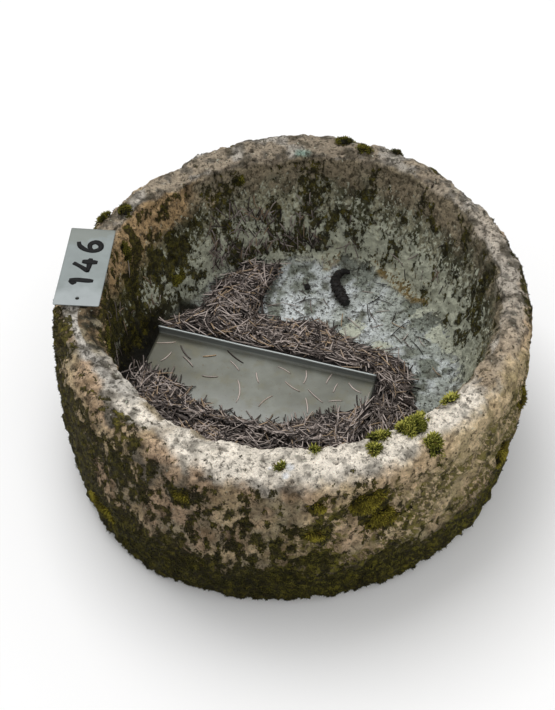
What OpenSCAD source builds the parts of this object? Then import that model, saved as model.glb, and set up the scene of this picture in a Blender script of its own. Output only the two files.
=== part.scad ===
// Round stone basin, hewn from one block, as it stands in a garden. Moss grows on its
// rim and walls, conifer needles have drifted into the hollow, a folded sheet of metal
// lies on the needles and a lot tag lies on the rim.
// Millimetres, +Z up. The origin is the centre of the foot, on the ground.
// The usual view is from the front, looking along +Y. Compass angles start at +X and
// run anticlockwise as seen from above.

/* [Stone block] */
// Diameter of the block at the rim
rim_dia = 600; // [580:5:630]
// Diameter of the block at the ground
foot_dia = 592; // [560:4:630]
// Height of the block
height = 256; // [240:2:300]
// Swell of the outer wall halfway up
belly = 8; // [0:1:16]
// Width of the rounding between the outer wall and the rim
shoulder_w = 24; // [12:1:30]
// Height of the rounding between the outer wall and the rim
shoulder_h = 30; // [14:1:44]
// Radius where the outer wall turns under to the ground
foot_round = 14; // [6:1:24]
// Strength of the uneven hewing, 1 as it stands and 0 for a true round
hewing = 1; // [0:0.1:1.2]
// Depth of the shallow lumps that the chisel left on the walls
chisel = 1.6; // [0:0.2:2.4]
// Depth of the hollows that the mason's point left in the outer wall
point_depth = 4; // [0:0.5:5]
// Depth of the chip that is missing from the back of the rim
chip_depth = 8; // [0:1:12]

/* [Hollow] */
// Diameter of the mouth
mouth_dia = 500; // [490:2:512]
// Diameter of the hollow at the foot of its wall
hollow_dia = 456; // [450:2:480]
// Thickness of the stone under the hollow
floor_t = 72; // [50:1:90]
// Radius between the wall of the hollow and its floor
floor_round = 34; // [16:1:40]
// Width of the worn lip at the mouth
lip_w = 12; // [4:1:14]
// Height of the worn lip at the mouth
lip_h = 14; // [6:1:20]
// Extra width of the lip where it is most worn, at the left
worn_w = 18; // [0:1:20]
// Extra height of the lip at the same place
worn_h = 12; // [0:1:14]
// Depth of the upright grooves in the wall of the hollow
groove_depth = 4; // [0:0.5:5]

/* [Folded sheet] */
// Length of the folded sheet
sheet_l = 305; // [280:1:312]
// Width of the folded sheet, from the fold to the front edge
sheet_w = 132; // [110:1:136]
// Thickness of the metal
sheet_t = 1.2; // [0.6:0.1:2]
// Height of the flange above the sheet
flange_h = 15; // [8:0.5:24]
// Width of the metal folded back on itself along the top of the flange
hem_w = 4; // [2:0.5:6]
// Radius inside the fold
fold_r = 2; // [1:0.5:4]

/* [Needle litter] */
// Thickness of the needle bed under the sheet
bed_t = 27; // [20:1:34]
// Height of the drifts above the sheet
drift_h = 14; // [8:1:20]
// Length of one dry needle
needle_l = 24; // [18:1:32]
// Thickness of one dry needle
needle_t = 1.6; // [1:0.1:2.4]

/* [Lot tag] */
// Length of the tag
tag_l = 136; // [110:1:150]
// Width of the tag
tag_w = 58; // [45:1:65]
// Thickness of the tag
tag_t = 1.6; // [1:0.1:3]
// Diameter of the hole near the end of the tag
tag_hole = 5; // [3:0.5:8]
// Distance from the end of the tag to the middle of its hole
tag_hole_in = 12; // [8:0.5:20]
// Radius of the corners of the tag
tag_corner = 2; // [0.5:0.5:6]

/* [Moss and fallen bits] */
// Length of the longest moss cushion on the rim
moss_l = 46; // [30:2:50]
// Width of the widest moss patch on the walls
patch_w = 60; // [40:2:66]
// Height of the fullest moss cushion on the rim
moss_h = 17; // [8:1:24]
// Thickness of the moss patches on the upright walls
moss_wall_h = 12; // [6:1:16]
// Thickness of the fallen catkin
catkin_t = 17; // [10:1:22]
// Diameter of the fallen bud
bud_dia = 9; // [5:0.5:14]

/* [Hidden] */

// Clearance between a piece and what it lies on. It is wider under litter on the floor,
// where the flats of the block bulge a little from its true curve, and under a moss cushion
// on the curved rim and on a wall.
seat = 0.3;
litter_seat = 0.8;
rim_seat = 0.9;
wall_seat = 0.9;
// Clearance beside the sheet, so that it lifts out freely
side_gap = 1;
// Clearance between the litter and the wall of the hollow
wall_gap = 2;

// How far each outline wanders from a true circle, every 30 degrees from +X
rim_out = [-2, -1, 3, 7, -9, -12, -2, 1, 9, 5, 1, 2];
foot_out = [-3, -5, -1, -1, -6, -8, -1, 8, 18, 6, 2, 4];
mouth_out = [10, 14, 14, -4, -8, 0, -14, -6, 2, 0, -1, 5];
hollow_out = [6, 4, 10, 0, -14, -20, 0, 8, 4, 0, 0, 4];
// How far the rim rises or dips at the same places
rim_up = [0, 2, 3, 0, -3, -3, -2, 0, 2, 0, -2, 0];
// Compass angle and half width in degrees of the chip
chip_at = 129;
chip_span = 5;
// Compass angle and half width in degrees of the stretch where the lip is most worn
worn_at = 193;
worn_span = 14;

// Stone that is cut away below the ground, so that the foot is one flat face
foot_spare = 1;

// Steps round the block, and steps along each band of its section
around = 108;
band_steps = [3, 8, 4, 2, 3, 5, 6, 1];

// Place of the sheet: its middle, its turn and its height
sheet_x = -52;
sheet_y = -47;
sheet_turn = -16;
sheet_under = floor_t + seat + bed_t + seat;
sheet_top = sheet_under + sheet_t;
drift_top = sheet_top + drift_h;

// Where the drifts begin on the sheet: share of its length, share of its width
cover_line = [[0.09, 0.5], [0.19, 0.6], [0.29, 0.77], [0.5, 0.85],
              [0.67, 0.8], [0.82, 0.6], [0.92, 0.46], [0.985, 0.3]];

// Loose needles: share of the length and width of the sheet, turn, bend in degrees and
// share of the usual length
loose = [[0.05, 0.12, 20, 8, 1], [0.15, 0.19, -42, 30, 1.1], [0.18, 0.29, -36, -14, 0.9],
         [0.26, 0.16, 25, 10, 0.7], [0.37, 0.1, -29, 16, 1.2], [0.385, 0.21, -38, -20, 0.8],
         [0.7, 0.15, -83, -40, 0.9], [0.445, 0.52, -75, -46, 1.5], [0.57, 0.56, -118, 34, 1],
         [0.92, 0.15, -31, 44, 0.9], [0.84, 0.2, -95, 20, 0.6], [0.86, 0.36, -160, 24, 0.7],
         [0.75, 0.5, -69, -18, 1], [0.77, 0.36, -33, 12, 1.1], [0.66, 0.31, -25, 26, 1]];

// Place of the tag: compass angle of its middle, how far its middle lies inside the edge
// of the rim, and its turn
tag_at = 173.7;
tag_in = 35.4;
tag_turn = 86.5;

// Drift behind the sheet, in thirteen lines that set out from the flange: where each
// starts as a share of the sheet's length, where it ends as a compass angle and a
// distance from the wall as a share of the hollow's diameter, and how high it ends as a
// share of the needle bed
back_shares = [0.007, 0.08, 0.15, 0.2, 0.235, 0.27, 0.3, 0.345, 0.425, 0.54, 0.67, 0.82, 1];
back_row = [[152.9, 0.05], [142.6, 0.075], [130.8, 0.074], [120.9, 0.025], [107.9, 0.006],
    [94, 0.021], [101.6, 0.103], [111.2, 0.181], [102.8, 0.244], [84.6, 0.267],
    [68.4, 0.264], [51.3, 0.291], [31.5, 0.24]];
back_tops = [0.85, 0.8, 0.75, 0.67, 0.8, 0.46, 0.19, 0.19, 0.15, 0.11, 0.11, 0.11, 0.11];

// Rim cushions: compass angle, share of the way from lip to shoulder, length and width
// as shares of the longest, turn, share of the full height
front_moss = [[-57.5, 0.2, 1, 0.7, 35, 1], [-55.8, 0.78, 0.45, 0.5, -40, 0.6],
              [-66.5, 0.12, 0.65, 0.28, 22, 0.6], [-69.5, 0.42, 0.37, 0.37, 0, 0.75],
              [-84, 0.15, 0.28, 0.22, 0, 0.5], [-92, 0.55, 0.26, 0.22, 0, 0.4],
              [-44, 0.1, 0.43, 0.3, 40, 0.55]];
back_moss = [[76, 0.62, 0.65, 0.33, 0, 0.5], [69.5, 0.4, 0.52, 0.33, -25, 0.45],
             [61, 0.7, 0.43, 0.3, -30, 0.4], [148, 0.3, 0.43, 0.37, 20, 0.6],
             [152.5, 0.8, 0.57, 0.35, 60, 0.45]];
// Wall cushions: compass angle, share of the height of the block, width and height of
// the patch as shares of the widest, share of thickness
outer_moss = [[-73, 0.81, 0.83, 0.67, 0.9], [-69.5, 0.65, 0.73, 0.63, 1],
              [-84.5, 0.64, 0.43, 0.4, 0.8], [-84, 0.83, 0.37, 0.3, 0.6],
              [-113, 0.81, 0.5, 0.3, 0.5], [-31, 0.47, 0.5, 0.77, 0.7],
              [-20, 0.66, 0.37, 0.67, 0.6], [-140, 0.23, 1, 0.67, 0.7]];
hollow_moss = [[192, 0.81, 0.9, 0.5, 0.42], [156, 0.84, 0.28, 0.77, 0.6],
               [108, 0.88, 0.28, 0.25, 0.7], [139, 0.48, 0.67, 0.33, 0.9]];

// The catkin: points along its middle, and share of its thickness at each
catkin_path = [[77, 136], [70, 152], [63, 170], [63, 188], [72, 198], [83, 199]];
catkin_fat = [0.85, 1, 0.95, 0.8, 0.6, 0.4];
bud_x = 22;
bud_y = 171;

// Smooth closed curve through evenly spaced values, read at a compass angle
function wander(list, angle) =
    let (n = len(list),
         turn = (angle % 360 + 360) % 360 / 360 * n,
         i = floor(turn),
         f = turn - i,
         before = list[(i + n - 1) % n],
         here = list[i % n],
         next = list[(i + 1) % n],
         after = list[(i + 2) % n])
    hewing * (here + f / 2 * (next - before
        + f * (2 * before - 5 * here + 4 * next - after
        + f * (3 * (here - next) + after - before))));

// Smooth open curve through a list of points, read from 0 at its start to 1 at its end
function along(list, t) =
    let (last = len(list) - 1,
         i = min(floor(t * last), last - 1),
         f = t * last - i,
         before = list[max(i - 1, 0)],
         here = list[i],
         next = list[i + 1],
         after = list[min(i + 2, last)])
    here + f / 2 * (next - before
        + f * (2 * before - 5 * here + 4 * next - after
        + f * (3 * (here - next) + after - before)));

// Straight-sided line through a list of points, read in the same way
function corner_line(list, t) =
    let (last = len(list) - 1,
         i = min(floor(t * last), last - 1))
    list[i] + (t * last - i) * (list[i + 1] - list[i]);

function bearing(p) = atan2(p[1], p[0]);
function polar(angle, r) = [r * cos(angle), r * sin(angle)];

// Shallow lumps over the hewn walls
function lumps(a, z) = hewing * chisel
    * (sin(7 * a + 1.7 * z) * 0.5 + sin(11 * a - 2.6 * z + 70) * 0.3
    + sin(3 * a + 4.1 * z + 200) * 0.2);

// Dents of the mason's point in the outer wall and upright grooves in the wall of the
// hollow, each two crossing waves about 60 mm long, which only take stone away
function dents(a, z) = hewing * point_depth
    * (0.5 + 0.25 * sin(24 * a + 3.1 * z) + 0.25 * sin(17 * a - 3.7 * z + 130));
function grooves(a, z) = hewing * groove_depth
    * (0.5 + 0.3 * sin(22 * a + 0.9 * z) + 0.2 * sin(13 * a - 1.6 * z + 40));

// Radii and heights of the block at compass angle a
function rim_z(a) = height + wander(rim_up, a);
function mouth_r(a) = mouth_dia / 2 + wander(mouth_out, a);
function outer_r(a, z) =
    let (up = z / rim_z(a),
         low = foot_dia / 2 + wander(foot_out, a),
         high = rim_dia / 2 + wander(rim_out, a))
    low + (high - low) * up + belly * sin(180 * up) + lumps(a, z)
        - dents(a, z) * sin(180 * min(1, z / shoulder_z(a)));
function inner_r(a, z) =
    let (low = floor_t + floor_round,
         up = min(1, max(0, (z - low) / (rim_z(a) - lip_drop(a) - low))),
         foot = hollow_dia / 2 + wander(hollow_out, a))
    foot + (mouth_r(a) - foot) * up + (lumps(a + 40, z) + grooves(a, z)) * sin(180 * up);

// The rim at compass angle a: where the shoulder starts, and the widths of shoulder and
// lip, which a narrow wall limits
function shoulder_z(a) = rim_z(a) - shoulder_h;
function shoulder_r(a) = outer_r(a, shoulder_z(a));
function wall_w(a) = shoulder_r(a) - mouth_r(a);
function shoulder_in(a) = min(shoulder_w, wall_w(a) * 0.6);
function worn(a) = exp((cos(a - worn_at) - 1) / (1 - cos(worn_span)));
function sound_lip(a) = min(lip_w, wall_w(a) * 0.28);
function lip_in(a) = sound_lip(a)
    + worn(a) * max(0, min(worn_w, wall_w(a) - shoulder_in(a) - sound_lip(a) - 4));
function lip_drop(a) = lip_h + worn_h * worn(a);
function chip(a) = chip_depth * exp(-pow((a - chip_at) / chip_span, 2));

// The skin of the block in eight bands, read by s: 0 foot rounding, 1 outer wall,
// 2 shoulder, 3 flat of the rim, 4 lip, 5 wall of the hollow, 6 floor rounding, 7 floor.
// Each gives radius and height.
function foot_band(a, t) =
    let (z = foot_round * (1 - cos(90 * t)))
    [outer_r(a, z) - foot_round * (1 - sin(90 * t)), z];
function wall_band(a, t) =
    let (z = foot_round + (shoulder_z(a) - foot_round) * t)
    [outer_r(a, z), z];
function shoulder_band(a, t) =
    [shoulder_r(a) - shoulder_in(a) * (1 - cos(90 * t)),
     shoulder_z(a) + shoulder_h * sin(90 * t) - chip(a) * t];
function flat_band(a, t) =
    let (outside = shoulder_r(a) - shoulder_in(a),
         inside = mouth_r(a) + lip_in(a))
    [outside + (inside - outside) * t, rim_z(a) - chip(a)];
function lip_band(a, t) =
    [mouth_r(a) + lip_in(a) * (1 - sin(90 * t)),
     rim_z(a) - lip_drop(a) * (1 - cos(90 * t)) - chip(a) * (1 - t)];
function hollow_band(a, t) =
    let (top = rim_z(a) - lip_drop(a),
         z = top + (floor_t + floor_round - top) * t)
    [inner_r(a, z), z];
function round_band(a, t) =
    let (z = floor_t + floor_round)
    [inner_r(a, z) - floor_round * (1 - cos(90 * t)), z - floor_round * sin(90 * t)];
function floor_band(a, t) =
    [(inner_r(a, floor_t + floor_round) - floor_round) * (1 - t), floor_t];
function skin(a, s) =
    let (band = floor(s), t = s - band)
    band == 0 ? foot_band(a, t) :
    band == 1 ? wall_band(a, t) :
    band == 2 ? shoulder_band(a, t) :
    band == 3 ? flat_band(a, t) :
    band == 4 ? lip_band(a, t) :
    band == 5 ? hollow_band(a, t) :
    band == 6 ? round_band(a, t) :
    floor_band(a, t);

// Height of the rim under a point, found from how far out it lies. The share of the lip
// that it follows down into the mouth can be limited.
function rim_top(p, lip_end = 1) =
    let (a = bearing(p),
         r = norm(p),
         out = min(1, max(0, (r - shoulder_r(a) + shoulder_in(a)) / shoulder_in(a))),
         inward = min(lip_end, max(0, (mouth_r(a) + lip_in(a) - r) / lip_in(a))))
    rim_z(a) - chip(a)
        - shoulder_h * (1 - sqrt(1 - out * out))
        - lip_drop(a) * (1 - sqrt(1 - inward * inward));

// Height of the floor of the hollow under a point, and where its wall stands
function hollow_top(p) =
    let (a = bearing(p),
         edge = inner_r(a, floor_t + floor_round) - floor_round,
         out = min(1, max(0, (norm(p) - edge) / floor_round)))
    floor_t + floor_round * (1 - sqrt(1 - out * out));
function at_wall(a, short) =
    polar(a, inner_r(a, floor_t + floor_round) - wall_gap - max(0, short) * hollow_dia);

// A point of the sheet, given by its distance from the back left corner along the
// length and towards the front, in plan
function on_sheet(u, v) =
    [sheet_x, sheet_y]
    + [(u - sheet_l / 2) * cos(sheet_turn) + (v - sheet_w / 2) * sin(sheet_turn),
       (u - sheet_l / 2) * sin(sheet_turn) - (v - sheet_w / 2) * cos(sheet_turn)];

// Closed skin over rings of n points each, with a point that closes either end. The
// rings turn right-handed about the way that they are stacked.
module stacked_skin(start, rings, finish) {
    n = len(rings[0]);
    top = len(rings) - 1;
    points = concat([start], [for (ring = rings) each ring], [finish]);
    faces = concat(
        [for (j = [0:n - 1]) [0, 1 + j, 1 + (j + 1) % n]],
        [for (i = [0:top - 1], j = [0:n - 1])
            [1 + i * n + j, 1 + (i + 1) * n + j, 1 + (i + 1) * n + (j + 1) % n]],
        [for (i = [0:top - 1], j = [0:n - 1])
            [1 + i * n + j, 1 + (i + 1) * n + (j + 1) % n, 1 + i * n + (j + 1) % n]],
        [for (j = [0:n - 1]) [1 + (top + 1) * n, 1 + top * n + (j + 1) % n, 1 + top * n + j]]);
    polyhedron(points, faces, convexity = 6);
}

// Hewn block with its hollow, read off the skin ring by ring
module stone_basin() {
    stations = concat([0],
        [for (band = [0:7], k = [1:band_steps[band]])
            if (band < 7 || k < band_steps[band]) band + k / band_steps[band] - 1e-9]);
    rings = [for (s = stations)
        [for (k = [0:around - 1])
            let (a = 360 * k / around, p = skin(a, s))
            [p[0] * cos(a), p[0] * sin(a), s == 0 ? -foot_spare : p[1]]]];
    color("tan") difference() {
        stacked_skin([0, 0, -foot_spare], rings, [0, 0, floor_t]);
        translate([0, 0, -2 * foot_spare]) cylinder(r = rim_dia, h = 2 * foot_spare);
    }
}

// Uneven dome of a moss cushion over a disc: 1 at its crown and 0 at its edge. The foot of
// a cushion has more rings than its crown, to follow the curved stone.
function dome(rho, phi, mark) = sqrt(1 - rho * rho)
    * (1 + rho * (0.16 * sin(3 * phi + 57 * mark) + 0.1 * sin(5 * phi + 31 * mark)));

cushion_sides = 16;
cushion_rings = [0.45, 0.8, 1];
cushion_foot = [0.25, 0.5, 0.75, 1];
cushion_edge = 1.2;
// Share of the lip that the foot of a cushion follows, past which it overhangs the mouth
overhang = 0.8;

// Moss cushion lying on the rim
module rim_cushion(m, mark) {
    a = m[0];
    from = mouth_r(a);
    middle = polar(a, from + m[1] * (shoulder_r(a) - from));
    function plan(rho, phi) =
        let (x = moss_l * m[2] / 2 * rho * cos(phi),
             y = moss_l * m[3] / 2 * rho * sin(phi))
        middle + [x * cos(m[4]) - y * sin(m[4]), x * sin(m[4]) + y * cos(m[4])];
    function low(rho, phi) =
        let (p = plan(rho, phi)) [p[0], p[1], rim_top(p, overhang) + rim_seat];
    function high(rho, phi) =
        low(rho, phi) + [0, 0, cushion_edge + moss_h * m[5] * dome(rho, phi, mark)];
    ring_angles = [for (j = [0:cushion_sides - 1]) 360 * j / cushion_sides];
    stacked_skin(low(0, 0),
        concat([for (rho = cushion_foot) [for (phi = ring_angles) low(rho, phi)]],
            [for (i = [2:-1:0]) [for (phi = ring_angles) high(cushion_rings[i], phi)]]),
        high(0, 0));
}

// Moss cushion on an upright wall, side 1 on the outside and -1 inside the hollow
module wall_cushion(m, side, mark) {
    function spot(rho, phi, thick) =
        let (z = m[1] * height + patch_w * m[3] / 2 * rho * sin(phi),
             reach = side > 0 ? outer_r(m[0], z) : inner_r(m[0], z),
             a = m[0] + side * patch_w * m[2] / 2 * rho * cos(phi) / reach * 180 / PI,
             r = side > 0 ? outer_r(a, z) : inner_r(a, z))
        concat(polar(a, r + side * (wall_seat + thick)), [z]);
    function thick(rho, phi) = cushion_edge + moss_wall_h * m[4] * dome(rho, phi, mark);
    ring_angles = [for (j = [0:cushion_sides - 1]) 360 * j / cushion_sides];
    stacked_skin(spot(0, 0, 0),
        concat([for (rho = cushion_rings) [for (phi = ring_angles) spot(rho, phi, 0)]],
            [for (i = [2:-1:0]) [for (phi = ring_angles)
                spot(cushion_rings[i], phi, thick(cushion_rings[i], phi))]]),
        spot(0, 0, thick(0, 0)));
}

module moss_front_rim() {
    color("olivedrab") for (i = [0:len(front_moss) - 1]) rim_cushion(front_moss[i], i);
}

module moss_back_rim() {
    color("darkolivegreen") for (i = [0:len(back_moss) - 1]) rim_cushion(back_moss[i], i);
}

module moss_outer_wall() {
    color("olive") for (i = [0:len(outer_moss) - 1]) wall_cushion(outer_moss[i], 1, i);
}

module moss_hollow() {
    color("olivedrab") for (i = [0:len(hollow_moss) - 1]) wall_cushion(hollow_moss[i], -1, i);
}

// Heap of litter between two rows of plan points, near and far. It lies on a flat
// surface at the height ground, or on the floor of the hollow where ground is 0. Its top
// falls from near_top to the heights far_tops, over lumps of the height rough.
module heap(near, far, ground, near_top, far_tops, rough, rows = 5) {
    thin = 1.5;
    columns = len(near) - 1;
    function low(i, j) =
        let (p = near[i] + j / rows * (far[i] - near[i]))
        [p[0], p[1], ground > 0 ? ground + seat : hollow_top(p) + litter_seat];
    function high(i, j) =
        let (p = low(i, j),
             fall = pow(j / rows, 1.4),
             lump = rough * sin(5 * p[0] + 3 * p[1]) * sin(4 * p[1] - 2 * p[0] + 40),
             z = near_top + (far_tops[i] - near_top) * fall + (j == 0 ? 0 : lump))
        [p[0], p[1], max(p[2] + thin, z)];
    rings = [for (i = [0:columns])
        concat([for (j = [0:rows]) low(i, j)], [for (j = [rows:-1:0]) high(i, j)])];
    function middle(ring) = [for (k = [0:2]) mean([for (p = ring) p[k]])];
    stacked_skin(middle(rings[0]), rings, middle(rings[columns]));
}

function mean(list) = list * [for (v = list) 1] / len(list);
function reversed(list) = [for (i = [len(list) - 1:-1:0]) list[i]];
function smooth_row(list, columns) = [for (i = [0:columns]) along(list, i / columns)];
function straight_row(list, columns) = [for (i = [0:columns]) corner_line(list, i / columns)];

// Points short of the wall of the hollow, from a list of compass angle and distance as a
// share of the hollow's diameter
function short_of_wall(list) = [for (p = list) at_wall(p[0], p[1])];

// Heights above the floor of the hollow, as shares of the thickness of the needle bed
function above_floor(list) = [for (share = list) floor_t + share * bed_t];
function fractions_of_sheet(list) = [for (p = list) on_sheet(p[0] * sheet_l, p[1] * sheet_w)];

// Bed of needles that carries the sheet. It stops short of the sheet's left end, where a
// dark gap stays open between the sheet and the wall.
module needle_bed() {
    inset = 5;
    left_gap = 16;
    columns = 12;
    flat = sheet_under - seat;
    color("rosybrown")
        heap(straight_row([on_sheet(sheet_l - inset, inset), on_sheet(left_gap, inset)], columns),
            straight_row([on_sheet(sheet_l - inset, sheet_w - inset),
                on_sheet(left_gap, sheet_w - inset)], columns),
            0, flat, [for (i = [0:columns]) flat], 0);
}

// Drift behind the sheet. At the left a tongue of it reaches up to the wall, and from
// there on it is a narrow bank along the flange, with the bare floor behind it.
module needle_drift_back() {
    columns = 24;
    color("rosybrown")
        heap(straight_row([for (u = back_shares) on_sheet(u * sheet_l, -side_gap)], columns),
            straight_row(short_of_wall(back_row), columns),
            0, sheet_top + flange_h - 1, straight_row(above_floor(back_tops), columns), 2.5);
}

// Drift beside the right end of the sheet
module needle_drift_right() {
    columns = 16;
    color("rosybrown")
        heap(straight_row([on_sheet(sheet_l + side_gap, -side_gap),
                on_sheet(sheet_l + side_gap, sheet_w)], columns),
            short_of_wall(smooth_row([[28, 0.24], [14, 0.17], [2, 0.16], [-13, 0.14],
                [-26, 0.11], [-41, 0.07], [-58, 0]], columns)),
            0, sheet_top + 0.7 * drift_h,
            smooth_row(above_floor([0.11, 0.15, 0.15, 0.19, 0.3, 0.6, 1.26]), columns), 2.5);
}

// Drift between the sheet and the wall, along its front and round its left end
module needle_drift_front() {
    columns = 20;
    right = sheet_l + side_gap;
    front = sheet_w + side_gap;
    color("rosybrown")
        heap(straight_row([on_sheet(right, front), on_sheet(sheet_l * 0.67, front),
                on_sheet(sheet_l * 0.33, front), on_sheet(-side_gap, front),
                on_sheet(-side_gap, sheet_w * 0.55)], columns),
            short_of_wall(smooth_row([[300, 0], [274, 0], [243, 0], [202, 0], [184, 0]], columns)),
            0, drift_top,
            smooth_row(above_floor([1.26, 1.41, 1.41, 1.33, 1.26]), columns), 1.5);
}

// Needles that lie over the front of the sheet and lift out with it
module needles_on_sheet() {
    columns = 21;
    inset = 0.5;
    right = sheet_l - inset;
    front = sheet_w - inset;
    color("rosybrown")
        heap(reversed(smooth_row(fractions_of_sheet(cover_line), columns)),
            straight_row([on_sheet(right, sheet_w * 0.4), on_sheet(right, front),
                on_sheet(sheet_l * 0.75, front), on_sheet(sheet_l * 0.5, front),
                on_sheet(sheet_l * 0.25, front), on_sheet(inset, front),
                on_sheet(inset, sheet_w * 0.6)], columns),
            sheet_top, sheet_top + seat + needle_t,
            [for (i = [0:columns]) drift_top], 1.2, 4);
}

// One dry needle, bent along an arc, lying on the sheet
module loose_needle(n) {
    steps = 5;
    sides = 4;
    step = needle_l * n[4] / steps;
    headings = [for (i = [0:steps - 1]) sheet_turn + n[2] + n[3] * ((i + 0.5) / steps - 0.5)];
    // How far the needle has come after i of its steps
    function travel(i) = i == 0 ? [0, 0] : travel(i - 1) + polar(headings[i - 1], step);
    start = on_sheet(n[0] * sheet_l, n[1] * sheet_w) - travel(steps) / 2;
    z = sheet_top + seat + needle_t / 2;
    function spot(i, sideways, up) =
        let (p = start + travel(i) + polar(headings[min(i, steps - 1)] + 90, sideways))
        [p[0], p[1], z + up];
    function r(i) = needle_t / 2 * (i == 0 || i == steps ? 0.5 : 1);
    stacked_skin(spot(0, 0, 0),
        [for (i = [0:steps]) [for (j = [0:sides - 1])
            let (phi = 360 * j / sides) spot(i, r(i) * cos(phi), r(i) * sin(phi))]],
        spot(steps, 0, 0));
}

// Single needles strewn over the sheet
module loose_needles() {
    color("sienna") for (n = loose) loose_needle(n);
}

// Fallen catkin on the floor: a ribbed spindle along a hooked path
module catkin() {
    steps = 16;
    sides = 10;
    function fat(t) = catkin_t / 2 * along(catkin_fat, t);
    function spot(t) =
        let (p = along(catkin_path, t))
        [p[0], p[1], hollow_top(p * (1 + fat(t) / norm(p))) + seat + fat(t)];
    function ring(i) =
        let (t = i / steps,
             ahead = along(catkin_path, min(1, t + 0.01)) - along(catkin_path, max(0, t - 0.01)),
             way = bearing(ahead),
             r = fat(t) * (i % 2 == 0 ? 1 : 0.86),
             p = spot(t))
        [for (j = [0:sides - 1])
            let (phi = 360 * j / sides, out = polar(way + 90, r * cos(phi)))
            [p[0] + out[0], p[1] + out[1], p[2] + r * sin(phi)]];
    color("dimgray") stacked_skin(spot(0), [for (i = [0:steps]) ring(i)], spot(1));
}

module bud() {
    color("dimgray") translate([bud_x, bud_y, floor_t + seat + bud_dia / 2])
        sphere(d = bud_dia, $fn = 32);
}

// Sheet of metal with its back edge folded up into a flange, which ends in a flat hem
module folded_sheet() {
    bend = fold_r + sheet_t;
    color("slategray") translate([sheet_x, sheet_y, sheet_under]) rotate(sheet_turn)
        translate([sheet_l / 2, sheet_w / 2, 0]) rotate([90, 0, -90]) linear_extrude(sheet_l) {
            translate([bend, 0]) square([sheet_w - bend, sheet_t]);
            translate([0, bend]) square([sheet_t, flange_h + sheet_t - bend]);
            translate([sheet_t, flange_h + sheet_t - hem_w]) square([sheet_t * 0.8, hem_w]);
            translate([bend, bend]) intersection() {
                difference() {
                    circle(bend, $fn = 48);
                    circle(fold_r, $fn = 48);
                }
                translate([-bend, -bend]) square(bend);
            }
        }
}

// Middle of the tag, and the height of the highest stone under it, on which it lies
tag_middle = polar(tag_at, rim_dia / 2 - tag_in);
tag_rest = max([for (y = [-tag_l / 2:4:tag_l / 2], x = [-tag_w / 2:4:tag_w / 2])
    rim_top(tag_middle + polar(tag_turn, y) + polar(tag_turn + 90, x))]);

module lot_tag() {
    corners = [tag_l / 2 - tag_corner, tag_w / 2 - tag_corner];
    color("lightsteelblue") translate([each tag_middle, tag_rest + seat]) rotate(tag_turn)
        linear_extrude(tag_t) difference() {
            union() {
                square([tag_l, 2 * corners[1]], center = true);
                square([2 * corners[0], tag_w], center = true);
                for (x = [-corners[0], corners[0]], y = [-corners[1], corners[1]])
                    translate([x, y]) circle(tag_corner, $fn = 32);
            }
            translate([tag_hole_in - tag_l / 2, 0]) circle(d = tag_hole, $fn = 32);
        }
}

stone_basin();
moss_front_rim();
moss_back_rim();
moss_outer_wall();
moss_hollow();
needle_bed();
needle_drift_back();
needle_drift_right();
needle_drift_front();
catkin();
bud();
folded_sheet();
needles_on_sheet();
loose_needles();
lot_tag();
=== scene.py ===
# %% [markdown]
# # A mossy stone basin in Blender
# The object is a round garden basin, hewn from one block. Moss and lichen grow on it,
# conifer needles have drifted into its hollow, a folded sheet of metal lies on the
# needles and a lot tag lies on the rim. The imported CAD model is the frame: every piece
# made here sits where a CAD piece sits, and rides on the same body. Sizes below are in
# millimetres, as on a stonemason's drawing, and become metres when a mesh is made.

# %% Load the frame
import itertools

import bpy
import numpy as np
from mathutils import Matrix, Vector


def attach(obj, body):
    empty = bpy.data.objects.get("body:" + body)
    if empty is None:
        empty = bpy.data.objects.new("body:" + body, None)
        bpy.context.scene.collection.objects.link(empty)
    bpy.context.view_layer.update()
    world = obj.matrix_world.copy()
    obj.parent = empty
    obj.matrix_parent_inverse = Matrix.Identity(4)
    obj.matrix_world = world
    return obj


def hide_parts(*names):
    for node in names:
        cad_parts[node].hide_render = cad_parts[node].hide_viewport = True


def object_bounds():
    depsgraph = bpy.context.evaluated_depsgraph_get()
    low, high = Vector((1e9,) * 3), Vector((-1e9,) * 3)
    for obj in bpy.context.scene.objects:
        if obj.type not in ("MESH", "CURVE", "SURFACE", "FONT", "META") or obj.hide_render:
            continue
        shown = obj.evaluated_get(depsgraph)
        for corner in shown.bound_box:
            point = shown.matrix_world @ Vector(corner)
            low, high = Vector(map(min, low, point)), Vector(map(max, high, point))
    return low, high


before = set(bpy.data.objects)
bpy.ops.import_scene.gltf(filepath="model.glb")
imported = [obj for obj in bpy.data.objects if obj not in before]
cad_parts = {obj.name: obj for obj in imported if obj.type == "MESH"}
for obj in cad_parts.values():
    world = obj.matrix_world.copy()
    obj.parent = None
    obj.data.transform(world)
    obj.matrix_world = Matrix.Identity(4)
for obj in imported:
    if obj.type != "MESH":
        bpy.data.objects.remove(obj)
cad_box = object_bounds()

# %% [markdown]
# ## Camera, lamps and ground
# The camera stands where the photographer stood: about 1.2 m in front of the basin's
# middle and 1.2 m above its rim, looking down at close to 49 degrees. It is aimed by
# naming the point that lies in the middle of the picture. The ground is a pale plane.
# Soft light comes from a bright sky, a large lamp above and a weaker one in front.

# %% Camera
MM = 0.001
IMAGE_LONG_SIDE = 710
FOCAL_IN_PIXELS = 1354.9
SENSOR = 36.0


def aimed(kind, name, place, target):
    """Puts a camera or lamp at a place so that its -Z axis points at a target."""
    thing = bpy.data.objects.new(name, kind)
    bpy.context.scene.collection.objects.link(thing)
    thing.location = place
    way = Vector(target) - Vector(place)
    thing.rotation_euler = way.to_track_quat("-Z", "Y").to_euler()
    return thing


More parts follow.
